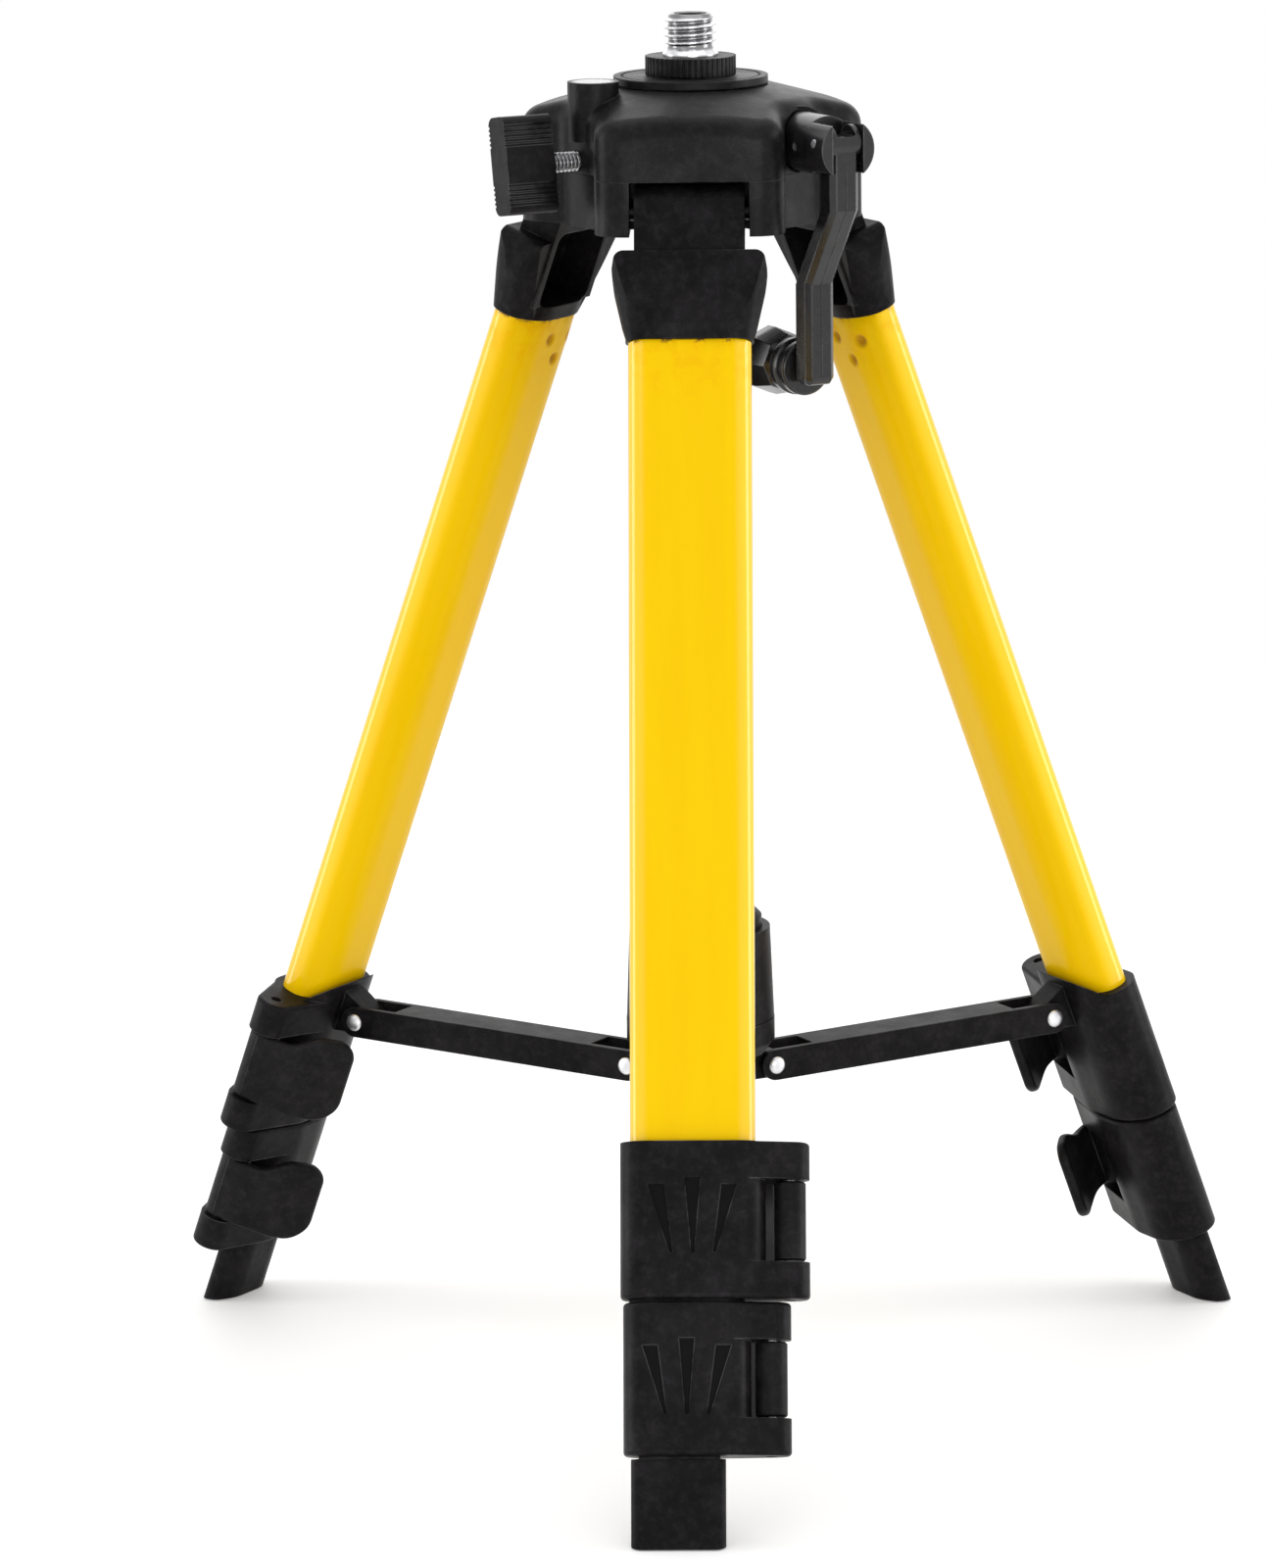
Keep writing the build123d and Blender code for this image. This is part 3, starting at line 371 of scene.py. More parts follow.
plain = blackPlastic("blackPlastic")
headBlack = blackPlastic("headBlack", glossShift=-0.05, grainShare=2.2, shine=1.7)
knobBlack = blackPlastic("knobBlack", shine=1.5, rubbed=0.9)
glossBlack = blackPlastic("glossBlack", glossShift=-0.17, grainShare=0.35, shine=8.0, rubbed=0.8)
leverBlack = blackPlastic("leverBlack", glossShift=-0.02, shine=1.6, rubbed=0.8)
ringBlack = blackPlastic("ringBlack", glossShift=-0.05, grainShare=0.6, shine=1.6, ringed=True)
steel = metal("brightSteel", "steel", gloss=0.3)
rivetMetal = metal("rivetSteel", "bright", gloss=0.42)
pinMetal = metal("blackenedPin", "blackened", gloss=0.4)
studValleyShade = (Matrix.Identity(4), 6.6, 7.5)  # axis, then the radii over which the painted valley shade fades out towards the crest
studMetal = metal("studAluminium", "bright", gloss=0.2, along=turnedLines, lineScale=3500.0,
                  lineDepth=0.00001, threadShade=studValleyShade)
columnMetal = metal("columnAluminium", "satin", gloss=0.34, along=turnedLines, lineScale=2000.0)
finishes = {"head_top": headBlack, "head_base": headBlack, "leg_hinge_pins": pinMetal,
            "bubble_vial": vialWhite(), "bubble_lens": clearLens(), "lock_knob": knobBlack,
            "column_tube": columnMetal, "platform": ringBlack, "thumb_wheel": knobBlack,
            "adapter_stud": studMetal, "crank_hub": glossBlack, "crank_arm": glossBlack,
            "crank_grip": glossBlack, "crank_pins": rivetMetal}
paints = {}
for leg, azimuth in legs.items():
    matrix = legMatrix(azimuth)
    paints[leg] = yellowPaint(leg + "Paint", matrix)
    collarBlack = blackPlastic(leg + "CollarBlack", glossShift=-0.04, shine=1.2, rubbed=1.0, legAxes=matrix)
    satin = metal(leg + "Satin", "satin", gloss=0.36, along=drawnLines(matrix))
    finishes[leg + "_upper_tube"] = paints[leg]
    finishes[leg + "_upper_collar"] = finishes[leg + "_lower_collar"] = collarBlack
    finishes[leg + "_middle_tube"] = finishes[leg + "_lower_tube"] = satin


def dress(piece, material):
    piece.data.materials.clear()
    piece.data.materials.append(material)


steelWords = ("pin", "rivets", "screw", "pinion_shaft")
for name, piece in nodes.items():
    dress(piece, finishes.get(name) or (steel if any(word in name for word in steelWords) else plain))
print("finishes:", len(bpy.data.materials), "materials on", len(nodes), "nodes")

weldDistance = 1e-7


def makePiece(name, matrix, points, faces, material, body, crease=32):
    mesh = bpy.data.meshes.new(name)
    mesh.from_pydata([matrix @ (Vector(point) * mm) for point in points], [], faces)
    tidy = bmesh.new()
    tidy.from_mesh(mesh)
    bmesh.ops.remove_doubles(tidy, verts=tidy.verts, dist=weldDistance)
    bmesh.ops.recalc_face_normals(tidy, faces=tidy.faces)
    tidy.to_mesh(mesh)
    tidy.free()
    for face in mesh.polygons:
        face.use_smooth = True
    mesh.set_sharp_from_angle(angle=math.radians(crease))
    piece = bpy.data.objects.new(name, mesh)
    bpy.context.scene.collection.objects.link(piece)
    dress(piece, material)
    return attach(piece, body)


def pointsOf(rows):
    return [point for row in rows for point in row]


def stitch(rows, base=0):  # faces between closed rows of equal length
    faces, wide = [], len(rows[0])
    for row in range(len(rows) - 1):
        low, high = base + row * wide, base + (row + 1) * wide
        for column in range(wide):
            right = (column + 1) % wide
            faces.append((low + column, low + right, high + right, high + column))
    return faces


def bandFaces(outerCount, innerCount, outerStart, innerStart):  # flat end between two outlines
    made, step = [], 0
    for column in range(outerCount):
        here, after = outerStart + column, outerStart + (column + 1) % outerCount
        goal = int(round((column + 1) * innerCount / outerCount))
        while step < goal:
            made.append((here, innerStart + step % innerCount, innerStart + (step + 1) % innerCount))
            step += 1
        made.append((here, innerStart + step % innerCount, after))
    return made


def lathe(profile, columns, shape=None):  # profile of (radius, height), shape may change a radius
    rows = []
    for radius, height in profile:
        row = []
        for column in range(columns):
            turn = 2 * math.pi * column / columns
            reach = radius if shape is None else shape(radius, height, turn)
            row.append((reach * math.cos(turn), reach * math.sin(turn), height))
        rows.append(row)
    return pointsOf(rows), stitch(rows)


def addTurned(points, faces, matrix, profile, columns):  # one more turned form in the same mesh
    made, sides = lathe(profile, columns)
    base = len(points)
    points += [(matrix @ (Vector(point) * mm)) / mm for point in made]
    faces += [tuple(base + corner for corner in face) for face in sides]


threadLook = {"crest": 1.25, "slope": 3.2}  # over 1 the ridge is cut flat


def threadShape(pitch, start, end, depth, runOut):  # ridge that winds up as height grows
    def shape(radius, height, turn):
        if not start < height < end:
            return radius
        phase = (height / pitch - turn / (2 * math.pi)) % 1.0
        ridge = min(1.0, max(0.0, threadLook["crest"] - abs(phase - 0.5) * threadLook["slope"]))
        fade = min(1.0, (height - start) / runOut, (end - height) / runOut)
        return radius + depth * ridge * max(0.0, fade)
    return shape


studLook = {"foot": 405.0, "flange": 8.3, "flangeWall": 0.7, "flangeTop": 1.0, "flangeEdge": 0.3,
            "neckFlare": 0.5, "neckStart": 2.1, "neckEnd": 2.9, "root": 6.45, "crest": 7.9375, "pitch": 2.309,
            "threadStart": 408.0, "threadGap": 0.8, "runOut": 0.9, "turnSteps": 18, "top": 417.49,
            "tipRows": ((0.0, 0.75), (0.35, 0.15), (0.6, 0.0)),  # in from the root, down from the top
            "hole": 5.0, "holeEdge": 0.35, "holeDepth": 5.5, "bore": 3.12, "columns": 96}


def makeStud():
    look = studLook
    foot, top, root, hole, bore = look["foot"], look["top"], look["root"], look["hole"], look["bore"]
    flange, start, pitch = look["flange"], look["threadStart"], look["pitch"]
    profile = [(bore, foot), (flange, foot), (flange, foot + look["flangeWall"]),
               (flange - look["flangeEdge"], foot + look["flangeTop"]),
               (root + look["neckFlare"], foot + look["neckStart"]), (root, foot + look["neckEnd"])]
    steps = int((top - look["runOut"] - start) / (pitch / look["turnSteps"]))
    profile += [(root, start + step * pitch / look["turnSteps"]) for step in range(steps + 1)]
    profile += [(root - inward, top - below) for inward, below in look["tipRows"]]
    profile += [(hole + look["holeEdge"], top), (hole, top - look["holeEdge"])]
    profile += [(hole, top - look["holeDepth"]), (bore, top - look["holeDepth"]), (bore, foot)]
    shape = threadShape(pitch, start, top - look["threadGap"], look["crest"] - root, look["runOut"])
    points, faces = lathe(profile, look["columns"], shape)
    stud = makePiece("threadedStud", Matrix.Identity(4), points, faces, studMetal, "stud")
    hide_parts("adapter_stud")


lockLook = {"azimuth": 210, "height": 376.0, "tip": 10.3, "end": 54.0, "crest": 3.0, "root": 2.3,
            "pitch": 1.25, "chamfer": 0.4, "tipGap": 0.5, "endGap": 0.3, "runOut": 0.5, "stepsPerMm": 10,
            "columns": 40, "roughness": 0.28, "valleyShadeRoot": 0.1, "valleyShadeCrest": 0.12}


def makeLockScrew():
    look = lockLook
    tip, end, root, crest = look["tip"], look["end"], look["root"], look["crest"]
    matrix = axisMatrix(Vector((0, 0, look["height"])), polar(look["azimuth"]))
    start = tip + look["tipGap"]
    count = int((end - tip - (look["tipGap"] + look["endGap"])) * look["stepsPerMm"])
    profile = [(0.0, tip), (root - look["chamfer"], tip), (root, tip + look["chamfer"])]
    profile += [(root, start + step / look["stepsPerMm"]) for step in range(count)]
    profile += [(root, end), (0.0, end)]
    shape = threadShape(look["pitch"], start, end - look["endGap"], crest - root, look["runOut"])
    points, faces = lathe(profile, look["columns"], shape)
    # painted shade in the screw's thread valleys
    valleyShade = (matrix, root + look["valleyShadeRoot"], crest - look["valleyShadeCrest"])
    lockMetal = metal("lockSteel", "steel", gloss=look["roughness"], threadShade=valleyShade)
    screw = makePiece("lockThread", matrix, points, faces, lockMetal, "lock")
    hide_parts("lock_screw")


fewestSteps = 4  # on the arc of one corner


def rounded(corners, radii, span):  # outline with each corner turned into an arc
    outline, count = [], len(corners)
    for index, (corner, radius) in enumerate(zip(corners, radii)):
        here = Vector(corner)
        before = (Vector(corners[index - 1]) - here).normalized()
        after = (Vector(corners[(index + 1) % count]) - here).normalized()
        opening = before.angle(after)
        reach = radius / math.tan(opening / 2)
        centre = here + (before + after).normalized() * (radius / math.sin(opening / 2))
        start, end = here + before * reach - centre, here + after * reach - centre
        sweep = start.angle_signed(end)
        steps = max(fewestSteps, int(abs(sweep) * radius / span))
        for step in range(steps + 1):
            spin = Matrix.Rotation(-sweep * step / steps, 2)
            outline.append(centre + spin @ start)
    return outline


def filled(outline, span):  # extra points on the long straight runs
    points, count = [], len(outline)
    for index in range(count):
        here, after = outline[index], outline[(index + 1) % count]
        points.append(here)
        steps = int((after - here).length / span)
        points += [here.lerp(after, step / (steps + 1)) for step in range(1, steps + 1)]
    return points


def tubeOutline(size, grow, span):
    look, (width, inward, depth, corner, shift) = tubeLook, tubeLook[size]
    half, wide, narrow, drop = depth / 2, width / 2, inward / 2, look["drop"] * depth
    turn = math.atan2(wide - narrow, half - drop)
    turnIn = (narrow + grow * math.tan(math.pi / 4 - turn / 2), -half - grow)
    right = ((wide + grow, half + grow), (wide + grow, -drop - grow * math.tan(turn / 2)), turnIn)
    corners = right + tuple((-x, y) for x, y in reversed(right))
    radii = (corner + grow, corner + grow, look["inwardRound"] * corner + grow)
    outline = rounded(corners, radii + radii[::-1], span)
    return [point + Vector((shift, look["offset"])) for point in filled(outline, span)]


def dent(spot, point, station):  # small hollows with a raised rim on the tube's inward side
    look = tubeLook
    if point.y >= look["offset"] - look["dentSide"]:
        return
    for side, down in look["dents"]:
        away = math.hypot(point.x - side, station - down) / look["dentRadius"]
        if away < look["dentReach"]:
            hollow = look["dentDepth"] * max(0.0, 1 - away * away) ** 2
            rim = look["rimRise"] * math.exp(-((away - look["rimPlace"]) / look["rimWidth"]) ** 2)
            spot.y += hollow - rim


def makeTubes():
    look = tubeLook
    outer, inner = [tubeOutline("upper", grow, look["span"]) for grow in (0.0, -look["wall"])]
    top, foot = look["top"] + look["topGap"], look["foot"] - look["footGap"]
    fine = [look["fineStart"] + step * look["fineStep"] for step in range(look["fineCount"])]
    stations = [top, top + look["edgeDrop"], *fine, *look["stations"], foot]
    middle = Vector((0, look["offset"]))
    rows = []
    for station in stations:
        row = []
        for point in outer:
            spot = point.copy()
            if station == top:  # rounded paint edge
                spot -= (spot - middle).normalized() * look["edgeRound"]
            dent(spot, point, station)
            row.append((spot.x, spot.y, station))
        rows.append(row)
    inside = [[(point.x, point.y, station) for point in inner] for station in (top, foot)]
    points = pointsOf(rows + inside)
    base, wide, narrow = len(pointsOf(rows)), len(outer), len(inner)
    faces = stitch(rows) + stitch(inside, base)
    faces += bandFaces(wide, narrow, 0, base) + bandFaces(wide, narrow, base - wide, base + narrow)
    for leg, azimuth in legs.items():
        piece = makePiece(leg + "PaintedTube", legMatrix(azimuth), points, faces, paints[leg], "leg_" + leg)
        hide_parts(leg + "_upper_tube")


leverLook = {"hinges": {"Upper": (27.6, 2.4, 285.9, 308.5),  # x, y, top and foot
                        "Lower": (22.1, 2.0, 331.7, 353.0)},
             "reach": 22.0, "thick": 1.7, "thinnest": 0.25, "edge": 1.35, "edgeGap": 0.01, "cornerSteps": 5,
             "bow": ((0.9, 0.25), (8.0, 0.75)), "tipBow": 18.0,  # inward, and share of the reach
             "barrel": 4.7, "barrelEdge": 0.5, "columns": 40, "crease": 40,
             "tabTop": 4.6, "tabFoot": 1.2, "flareStart": 0.3, "flareLength": 0.34,
             "topRound": 7.0, "footRound": 9.0, "roundShare": 0.999,
             "steps": 180, "coarse": 5, "fineFrom": 150}


def leverPath(hingeX, hingeY):  # a cubic through four points of the lever's plan
    look = leverLook
    reach, outside, steps = look["reach"], hingeX + look["barrel"] - look["thick"], look["steps"]
    marks = [Vector((outside, hingeY))]
    marks += [Vector((outside - inward, hingeY - share * reach)) for inward, share in look["bow"]]
    marks += [Vector((outside - look["tipBow"], -reach))]
    knots = [0.0]
    for before, after in zip(marks, marks[1:]):
        knots.append(knots[-1] + (after - before).length)
    path = []
    for step in range(steps + 1):
        here, spot = knots[-1] * step / steps, Vector((0, 0))
        for index, mark in enumerate(marks):
            share = 1.0
            for other, knot in enumerate(knots):
                if other != index:
                    share *= (here - knot) / (knots[index] - knot)
            spot += mark * share
        path.append(spot)
    return path


def smooth(value):
    value = min(1.0, max(0.0, value))
    return value * value * (3 - 2 * value)


def roundEnd(past, radius):  # how far an edge steps back where it turns a corner
    return radius - math.sqrt(max(0.0, radius * radius - max(0.0, past) ** 2))


def leverRow(spot, ahead, run, total, start, end):  # rounded section at one place on the path
    look, thick, corners = leverLook, leverLook["thick"], leverLook["cornerSteps"]
    left, lean = run - total, Vector((-ahead.y, ahead.x))
    flare = smooth((run / total - look["flareStart"]) / look["flareLength"])
    topRound, footRound = look["topRound"], look["footRound"]
    top = start - look["tabTop"] * flare + roundEnd(left + topRound, topRound * look["roundShare"])
    foot = end + look["tabFoot"] * flare - roundEnd(left + footRound, footRound * look["roundShare"])
    half = max(look["thinnest"], math.sqrt(max(0.0, thick ** 2 - max(0.0, left + thick) ** 2)))
    edge = min(look["edge"], half, (foot - top) / 2 - look["edgeGap"])
    row = []
    low, high = foot - edge, top + edge
    for side, down, first in ((1, low, 0), (-1, low, 90), (-1, high, 180), (1, high, 270)):
        for step in range(corners + 1):
            turn = math.radians(first + 90 / corners * step)
            place = spot + lean * (side * (half - edge) + edge * math.cos(turn))
            row.append((place.x, place.y, down + edge * math.sin(turn)))
    return row


def makeLevers():
    look, last = leverLook, leverLook["steps"]
    barrel, bevel = look["barrel"], look["barrelEdge"]
    picks = [index for index in range(last) if index % look["coarse"] == 0 or index > look["fineFrom"]]
    picks.append(last)
    for kind, (hingeX, hingeY, start, end) in look["hinges"].items():
        path = leverPath(hingeX, hingeY)
        runs = [0.0]
        for before, after in zip(path, path[1:]):
            runs.append(runs[-1] + (after - before).length)
        rows = []
        for index in picks:
            ahead = (path[min(index + 1, last)] - path[max(index - 1, 0)]).normalized()
            rows.append(leverRow(path[index], ahead, runs[index], runs[-1], start, end))
        points, wide = pointsOf(rows), len(rows[0])
        faces = stitch(rows) + [tuple(range(wide)), tuple(range(len(points) - wide, len(points)))]
        profile = [(0.0, start), (barrel - bevel, start), (barrel, start + bevel)]
        profile += [(barrel, end - bevel), (barrel - bevel, end), (0.0, end)]
        turned, sides = lathe(profile, look["columns"])
        faces += [tuple(len(points) + corner for corner in face) for face in sides]
        points += [(x + hingeX, y + hingeY, z) for x, y, z in turned]
        for leg, azimuth in legs.items():
            piece = makePiece(leg + kind + "Flip", legMatrix(azimuth), points, faces, leverBlack,
                              kind.lower() + "_lever_" + leg, look["crease"])
            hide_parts(leg + "_" + kind.lower() + "_lever")


shadeLipLook = {"tubes": {"middle": (319.76, 320.48, 2.3), "lower": (364.26, 364.98, 2.0)},  # top, foot, way out
           "inset": 0.12, "span": 1.5}


def makeShadeLips():  # dark lips that close the thin gaps below the collars, put there as painted shade in the gaps
    look = shadeLipLook
    for size, (top, foot, wayOut) in look["tubes"].items():
        rings = [tubeOutline(size, grow, look["span"]) for grow in (wayOut, look["inset"])]
        points, faces = [], []
        for outline in rings:
            rows = [[(point.x, point.y, station) for point in outline] for station in (top, foot)]
            faces += stitch(rows, len(points))
            points += pointsOf(rows)
        outer, inner = [len(outline) for outline in rings]
        faces += bandFaces(outer, inner, 0, 2 * outer) + bandFaces(outer, inner, outer, 2 * outer + inner)
        for leg, azimuth in legs.items():
            makePiece(leg + size.capitalize() + "ShadeLip", legMatrix(azimuth), points, faces, plain,
                      size + "_" + leg)


rivetLook = {"collarRadius": 122.6, "collarHeight": 97.1, "hubRadius": 22.6, "hubHeight": 94.9, "cheek": 7.0,
             "cheekInside": 5.0, "head": 2.75, "rise": 1.35, "shank": 1.88, "seat": 0.3, "rimEdge": 0.15,
             "dome": ((1.0, 0.2), (0.93, 0.55), (0.76, 0.95), (0.5, 1.2), (0.25, 1.31)),  # share and rise
             "endGap": 0.02, "columns": 40, "crease": 50}


def makeRivets():
    look = rivetLook
    head, shank, cheek = look["head"], look["shank"], look["cheek"]
    dome = [(shank, -look["seat"]), (head - look["rimEdge"], 0.0)]
    dome += [(head * share, height) for share, height in look["dome"]] + [(0.0, look["rise"])]
    spots = ((look["collarRadius"], look["collarHeight"], cheek),
             (look["hubRadius"], look["hubHeight"], cheek - look["cheekInside"]))
    for leg, azimuth in legs.items():
        points, faces = [], []
        across = polar(azimuth + 90)
        for radius, height, deep in spots:
            inner = look["endGap"] - deep
            for side in (-1, 1):
                matrix = axisMatrix(polar(azimuth, radius, height) + across * side * cheek, across * side)
                addTurned(points, faces, matrix, [(0.0, inner), (shank, inner)] + dome, look["columns"])
        piece = makePiece(leg + "Rivets", Matrix.Identity(4), points, faces, rivetMetal, "strut_" + leg,
                          look["crease"])
        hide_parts(leg + "_strut_rivets")


rackLook = {"radius": 10.0, "bore": 7.6, "flat": 9.5, "azimuth": 30, "foot": 70.0, "top": 396.9,
            "topGap": 0.02, "footEdge": 0.4, "footShare": 0.97, "pitch": 2.6,
            "toothStart": 84.0, "toothEnd": 384.0, "toothDepth": 1.1, "toothShare": 0.9,
            "toothRows": (0.0, 0.55, 1.25, 1.8), "cut": (0.5, 1.3), "flatSteps": 4,
            "roundSteps": 44, "flatBlur": 1e-6, "crease": 25}


def rackSpot(turn, height, flatTurn):  # round tube with a toothed flat
    look = rackLook
    x, y = look["radius"] * math.cos(turn), look["radius"] * math.sin(turn)
    if abs(turn) <= flatTurn + look["flatBlur"]:
        phase = (height - look["toothStart"]) % look["pitch"]
        toothed = look["cut"][0] < phase < look["cut"][1] and look["toothStart"] < height < look["toothEnd"]
        cut = look["toothDepth"] if toothed and abs(turn) < flatTurn * look["toothShare"] else 0.0
        x, y = look["flat"] - cut, look["flat"] * math.tan(turn)
    if height == look["foot"]:
        x, y = x * look["footShare"], y * look["footShare"]
    return (x, y, height)


def makeColumn():
    look = rackLook
    flatSteps, roundSteps = look["flatSteps"], look["roundSteps"]
    foot, top = look["foot"], look["top"] - look["topGap"]
    flatTurn = math.acos(look["flat"] / look["radius"])
    turns = [flatTurn * (step / flatSteps - 1) for step in range(2 * flatSteps + 1)]
    turns += [flatTurn + (2 * math.pi - 2 * flatTurn) * step / roundSteps for step in range(1, roundSteps)]
    heights = [foot, foot + look["footEdge"]]
    height = look["toothStart"]
    while height < look["toothEnd"]:
        heights += [height + rise for rise in look["toothRows"]]
        height += look["pitch"]
    heights += [top]
    rows = [[rackSpot(turn, height, flatTurn) for turn in turns] for height in heights]
    bore = [[(look["bore"] * math.cos(turn), look["bore"] * math.sin(turn), height) for turn in turns]
            for height in (foot, top)]
    wide, base = len(turns), len(rows) * len(turns)
    faces = stitch(rows) + stitch(bore, base)
    for outerStart, innerStart in ((0, base), (base - wide, base + wide)):
        for column in range(wide):
            after = (column + 1) % wide
            faces.append((outerStart + column, outerStart + after, innerStart + after, innerStart + column))
    matrix = Matrix.Rotation(math.radians(look["azimuth"]), 4, "Z")
    piece = makePiece("rackColumn", matrix, pointsOf(rows + bore), faces, columnMetal, "column",
                      look["crease"])
    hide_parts("column_tube")


def carve(piece, cutter):  # takes the cutter's boxes out of the piece
    mesh = bpy.data.meshes.new("cutter")
    cutter.to_mesh(mesh)
    cutter.free()
    tool = bpy.data.objects.new("cutter", mesh)
    bpy.context.scene.collection.objects.link(tool)
    cut = piece.modifiers.new("recess", "BOOLEAN")
    cut.operation, cut.object, cut.solver, cut.use_self = "DIFFERENCE", tool, "EXACT", True
    bpy.context.view_layer.update()
    made = bpy.data.meshes.new_from_object(piece.evaluated_get(bpy.context.evaluated_depsgraph_get()))
    piece.modifiers.remove(cut)
    piece.data = made
    bpy.data.objects.remove(tool)


screwLook = {"count": 3, "circle": 27.0, "azimuth": 75, "base": 356.5, "length": 20.0, "shank": 1.6,
             "head": 2.9, "rise": 1.45, "columns": 40, "crease": 40,
             "dome": ((1.0, 0.0), (1.0, 0.35), (0.86, 0.95), (0.55, 1.32)),  # share and rise
             "slotWidth": 0.75, "slotLength": 3.4, "slotDepth": 0.8, "slotTurn": 0.4}


def makeCaseScrews():
    look = screwLook
    length, shank, base = look["length"], look["shank"], look["base"]
    profile = [(0.0, -length), (shank, -length), (shank, 0.0)]
    profile += [(look["head"] * share, height) for share, height in look["dome"]] + [(0.0, look["rise"])]
    slot = Matrix.Diagonal((look["slotLength"] * mm, look["slotWidth"] * mm, 2 * look["slotDepth"] * mm, 1))
    points, faces, cutter = [], [], bmesh.new()
    for step in range(look["count"]):
        azimuth = look["azimuth"] + 360 / look["count"] * step
        matrix = axisMatrix(polar(azimuth, look["circle"], base), Vector((0, 0, -1)), Vector((0, 1, 0)))
        addTurned(points, faces, matrix, profile, look["columns"])
        tip = Matrix.Translation(polar(azimuth, look["circle"], base - look["rise"]) * mm)
        for turn in (look["slotTurn"], look["slotTurn"] + math.pi / 2):
            place = tip @ Matrix.Rotation(turn + step, 4, "Z") @ slot
            bmesh.ops.create_cube(cutter, size=1.0, matrix=place)
    piece = makePiece("coverScrews", Matrix.Identity(4), points, faces, steel, "head",
                      look["crease"])
    carve(piece, cutter)
    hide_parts("case_screws")


armLook = {"azimuth": 300, "offset": 18.0, "height": 381.5, "half": 4.25, "pin": 56.5, "pinHeight": 1.8,
           "low": 41.5, "stepTop": 20.0, "stepBottom": 43.0, "bottom": -67.2,
           "seamTop": 6.0, "outerFoot": 2.6, "innerFoot": 9.6, "seamWide": 0.22, "seamRise": 0.14,
           "seamSink": 0.1, "crease": 20}


def makeArmSeam():  # raised moulding line on the arm's outer and inner side
    look = armLook
    half, top, bottom = look["half"], look["pinHeight"], look["bottom"]
    wide, rise, sink = look["seamWide"], look["seamRise"], look["seamSink"]
    out, across = polar(look["azimuth"]), polar(look["azimuth"] + 90)
    origin = polar(look["azimuth"] + 90, look["offset"], look["height"])
    points, faces = [], []
    for facing, end in ((1, bottom - half + look["outerFoot"]), (-1, bottom + look["innerFoot"])):
        high, low, lift = look["pin"] + facing * half, look["low"] + facing * half, out * facing
        rows = []
        for along, height in ((high, top - look["seamTop"]), (high, top - look["stepTop"]),
                              (low, top - look["stepBottom"]), (low, end)):
            centre = origin + out * along + Vector((0, 0, height))
            rows.append([tuple(centre + across * (wide * share) + lift * level)
                         for share, level in ((-1, -sink), (-0.5, rise), (0.5, rise), (1, -sink))])
        base, width = len(points), len(rows[0])
        points += pointsOf(rows)
        ends = (base, len(points) - width)
        faces += stitch(rows, base) + [tuple(range(first, first + width)) for first in ends]
    makePiece("armSeam", Matrix.Identity(4), points, faces, glossBlack, "crank_arm",
              look["crease"])


gripLook = {"start": 36.75, "end": 11.8, "bore": 3.06, "radius": 10.1, "full": 18.5, "sides": 8,
            "ringRows": ((7.7, 0.0), (8.2, 0.5), (8.2, 2.6), (6.6, 3.3),  # radius, and way from the arm
                         (6.6, 4.4), (8.5, 5.1), (8.5, 7.4), (7.0, 8.1)),
            "neck": 7.0, "shoulder": 8.6, "ringEnd": 26.9, "shoulderDrop": 1.0, "facetGap": 0.5,
            "endRows": ((0.0, 2.0), (0.7, 0.7), (1.9, 0.0)),  # in from the radius, and up from the end
            "columns": 64}


def makeGrip():  # two round rings beside the arm, then a faceted barrel
    look, arm = gripLook, armLook
    start, end, bore, radius = look["start"], look["end"], look["bore"], look["radius"]
    ringEnd = look["ringEnd"]
    profile = [(bore, start)] + [(reach, start - away) for reach, away in look["ringRows"]]
    profile += [(look["neck"], ringEnd), (look["shoulder"], ringEnd - look["shoulderDrop"])]
    profile += [(radius, look["full"])]
    profile += [(radius - inward, end + above) for inward, above in look["endRows"]]
    profile += [(bore, end), (bore, start)]
    facet = 2 * math.pi / look["sides"]

    def shape(reach, along, turn):
        if along > ringEnd - look["facetGap"] or reach <= bore:
            return reach
        return reach * math.cos(facet / 2) / math.cos(turn % facet - facet / 2)

    foot = polar(arm["azimuth"] + 90, arm["offset"], arm["height"] + arm["bottom"])
    points, faces = lathe(profile, look["columns"], shape)
    grip = makePiece("facetedGrip", axisMatrix(foot, polar(arm["azimuth"])), points, faces, glossBlack,
                     "crank_grip")
    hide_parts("crank_grip")


makeStud()
makeLockScrew()
makeGrip()
makeTubes()
makeLevers()
makeShadeLips()
makeRivets()
makeColumn()
makeCaseScrews()
makeArmSeam()
print("pieces: stud, lock screw, grip, painted tubes, levers, lips, rivets, column, cover screws, arm seam")


stageLook = {"floorSize": 6.0, "sink": 0.0004, "fadeRange": (0.55, 1.3), "floor": grey(0.93), "lift": 0.22,
             "cloud": 3.0, "roughness": 0.5, "cloudGloss": 0.1, "specular": 0.15}


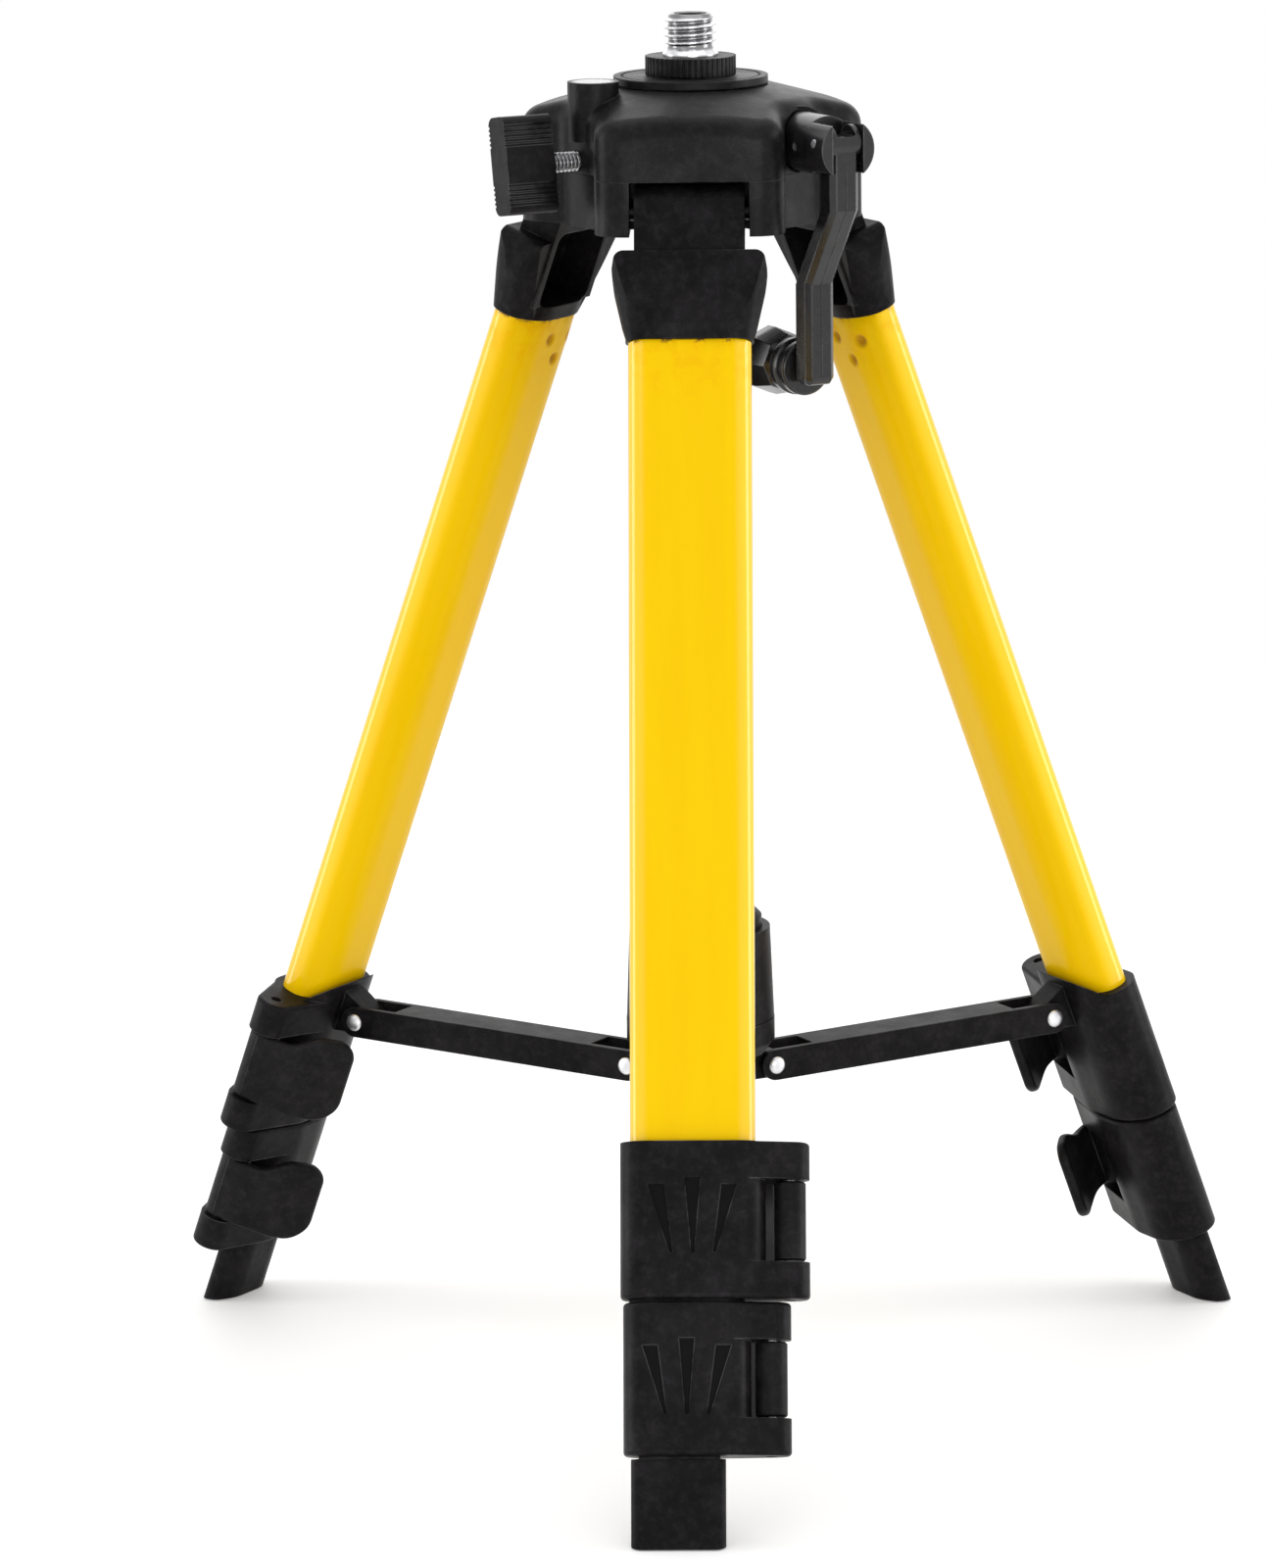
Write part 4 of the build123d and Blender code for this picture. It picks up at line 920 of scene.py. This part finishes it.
def makeFloor():
    look, half = stageLook, stageLook["floorSize"] / 2
    mesh = bpy.data.meshes.new("studioFloor")
    corners = [(-half, -half, 0), (half, -half, 0), (half, half, 0), (-half, half, 0)]
    mesh.from_pydata(corners, [], [(0, 1, 2, 3)])
    floor = bpy.data.objects.new("studioFloor", mesh)
    bpy.context.scene.collection.objects.link(floor)
    floor.location.z = -look["sink"]
    finish = Finish("studioFloor")
    where = finish.place()
    x, y = finish.parts(where)[:2]
    faded = ((x * x + y * y) ** 0.5).step(*look["fadeRange"])
    gloss = look["roughness"] + finish.noise(where, look["cloud"]) * look["cloudGloss"]
    lifted = finish.blend(finish.seen(), grey(0.0), grey(1.0))
    shader = finish.node("ShaderNodeBsdfPrincipled", None, {
        "Base Color": look["floor"], "Roughness": gloss, "Specular IOR Level": look["specular"],
        "Emission Color": lifted, "Emission Strength": look["lift"]})
    gone = finish.node("ShaderNodeBsdfTransparent")
    mixed = finish.node("ShaderNodeMixShader", None, {0: faded, 1: shader, 2: gone})
    finish.node("ShaderNodeOutputMaterial", None, {"Surface": mixed})
    dress(floor, finish.material)


worldLook = {"ambient": 0.72, "white": 1.0}


def makeWorld():
    world = bpy.data.worlds.new("studioWhite")
    world.use_nodes = True
    bpy.context.scene.world = world
    finish = Finish("studioWhite", world.node_tree)
    dim = finish.node("ShaderNodeBackground", None, {"Color": grey(1.0), "Strength": worldLook["ambient"]})
    white = finish.node("ShaderNodeBackground", None, {"Color": grey(1.0), "Strength": worldLook["white"]})
    mixed = finish.node("ShaderNodeMixShader", None, {0: finish.seen(), 1: dim, 2: white})
    finish.node("ShaderNodeOutputWorld", None, {"Surface": mixed})


lampLook = {  # place, aim, width, height, watts
    "keyBox": ((-1.2, -1.3, 1.8), (0, 0, 0.2), 1.0, 1.0, 1.6),
    "topBox": ((0.1, 0.1, 1.7), (0, 0, 0.2), 1.3, 1.3, 4.0),
    "lowFill": ((0.5, -2.3, 0.3), (0, 0, 0.2), 1.4, 0.5, 11.0),
    "backBox": ((0.0, 1.7, 1.0), (0, 0, 0.35), 1.8, 0.8, 4.0),
    "leftStrip": ((-1.5, 0.05, 0.4), (0, 0, 0.2), 0.6, 1.4, 8.5),
    "rightStrip": ((1.5, 0.05, 0.4), (0, 0, 0.2), 0.6, 1.4, 9.0),
}


def makeLamps():
    for name, (spot, aim, width, height, watts) in lampLook.items():
        lamp = bpy.data.lights.new(name, "AREA")
        lamp.shape, lamp.size, lamp.size_y, lamp.energy = "RECTANGLE", width, height, watts
        holder = bpy.data.objects.new(name, lamp)
        bpy.context.scene.collection.objects.link(holder)
        holder.location = spot
        holder.rotation_euler = (Vector(aim) - Vector(spot)).to_track_quat("-Z", "Y").to_euler()


cameraLook = {"spot": (0.04072, -2.13884, 0.62368), "lens": 165.42, "sensor": 36.0, "far": 50.0,
              "yaw": -0.0085, "pitch": 0.2026, "roll": -0.0125, "turn": math.radians(1.1327)}


def makeCamera():
    look = cameraLook
    yaw, pitch, roll = look["yaw"], look["pitch"], look["roll"]
    ahead = Vector((math.sin(yaw) * math.cos(pitch), math.cos(yaw) * math.cos(pitch), -math.sin(pitch)))
    level = Vector((math.cos(yaw), -math.sin(yaw), 0))
    lift = level.cross(ahead)
    right = level * math.cos(roll) + lift * math.sin(roll)
    up = lift * math.cos(roll) - level * math.sin(roll)
    axes = Matrix((right, up, -ahead)).transposed().to_4x4()
    data = bpy.data.cameras.new("photoView")
    data.lens, data.sensor_width, data.clip_end = look["lens"], look["sensor"], look["far"]
    camera = bpy.data.objects.new("photoView", data)
    bpy.context.scene.collection.objects.link(camera)
    camera.matrix_world = Matrix.Translation(look["spot"]) @ Matrix.Rotation(look["turn"], 4, "Z") @ axes
    bpy.context.scene.camera = camera


makeFloor()
makeWorld()
makeLamps()
makeCamera()
bpy.context.scene.view_settings.view_transform = "Standard"
print("stage: floor, world,", len(lampLook), "lamps and camera")
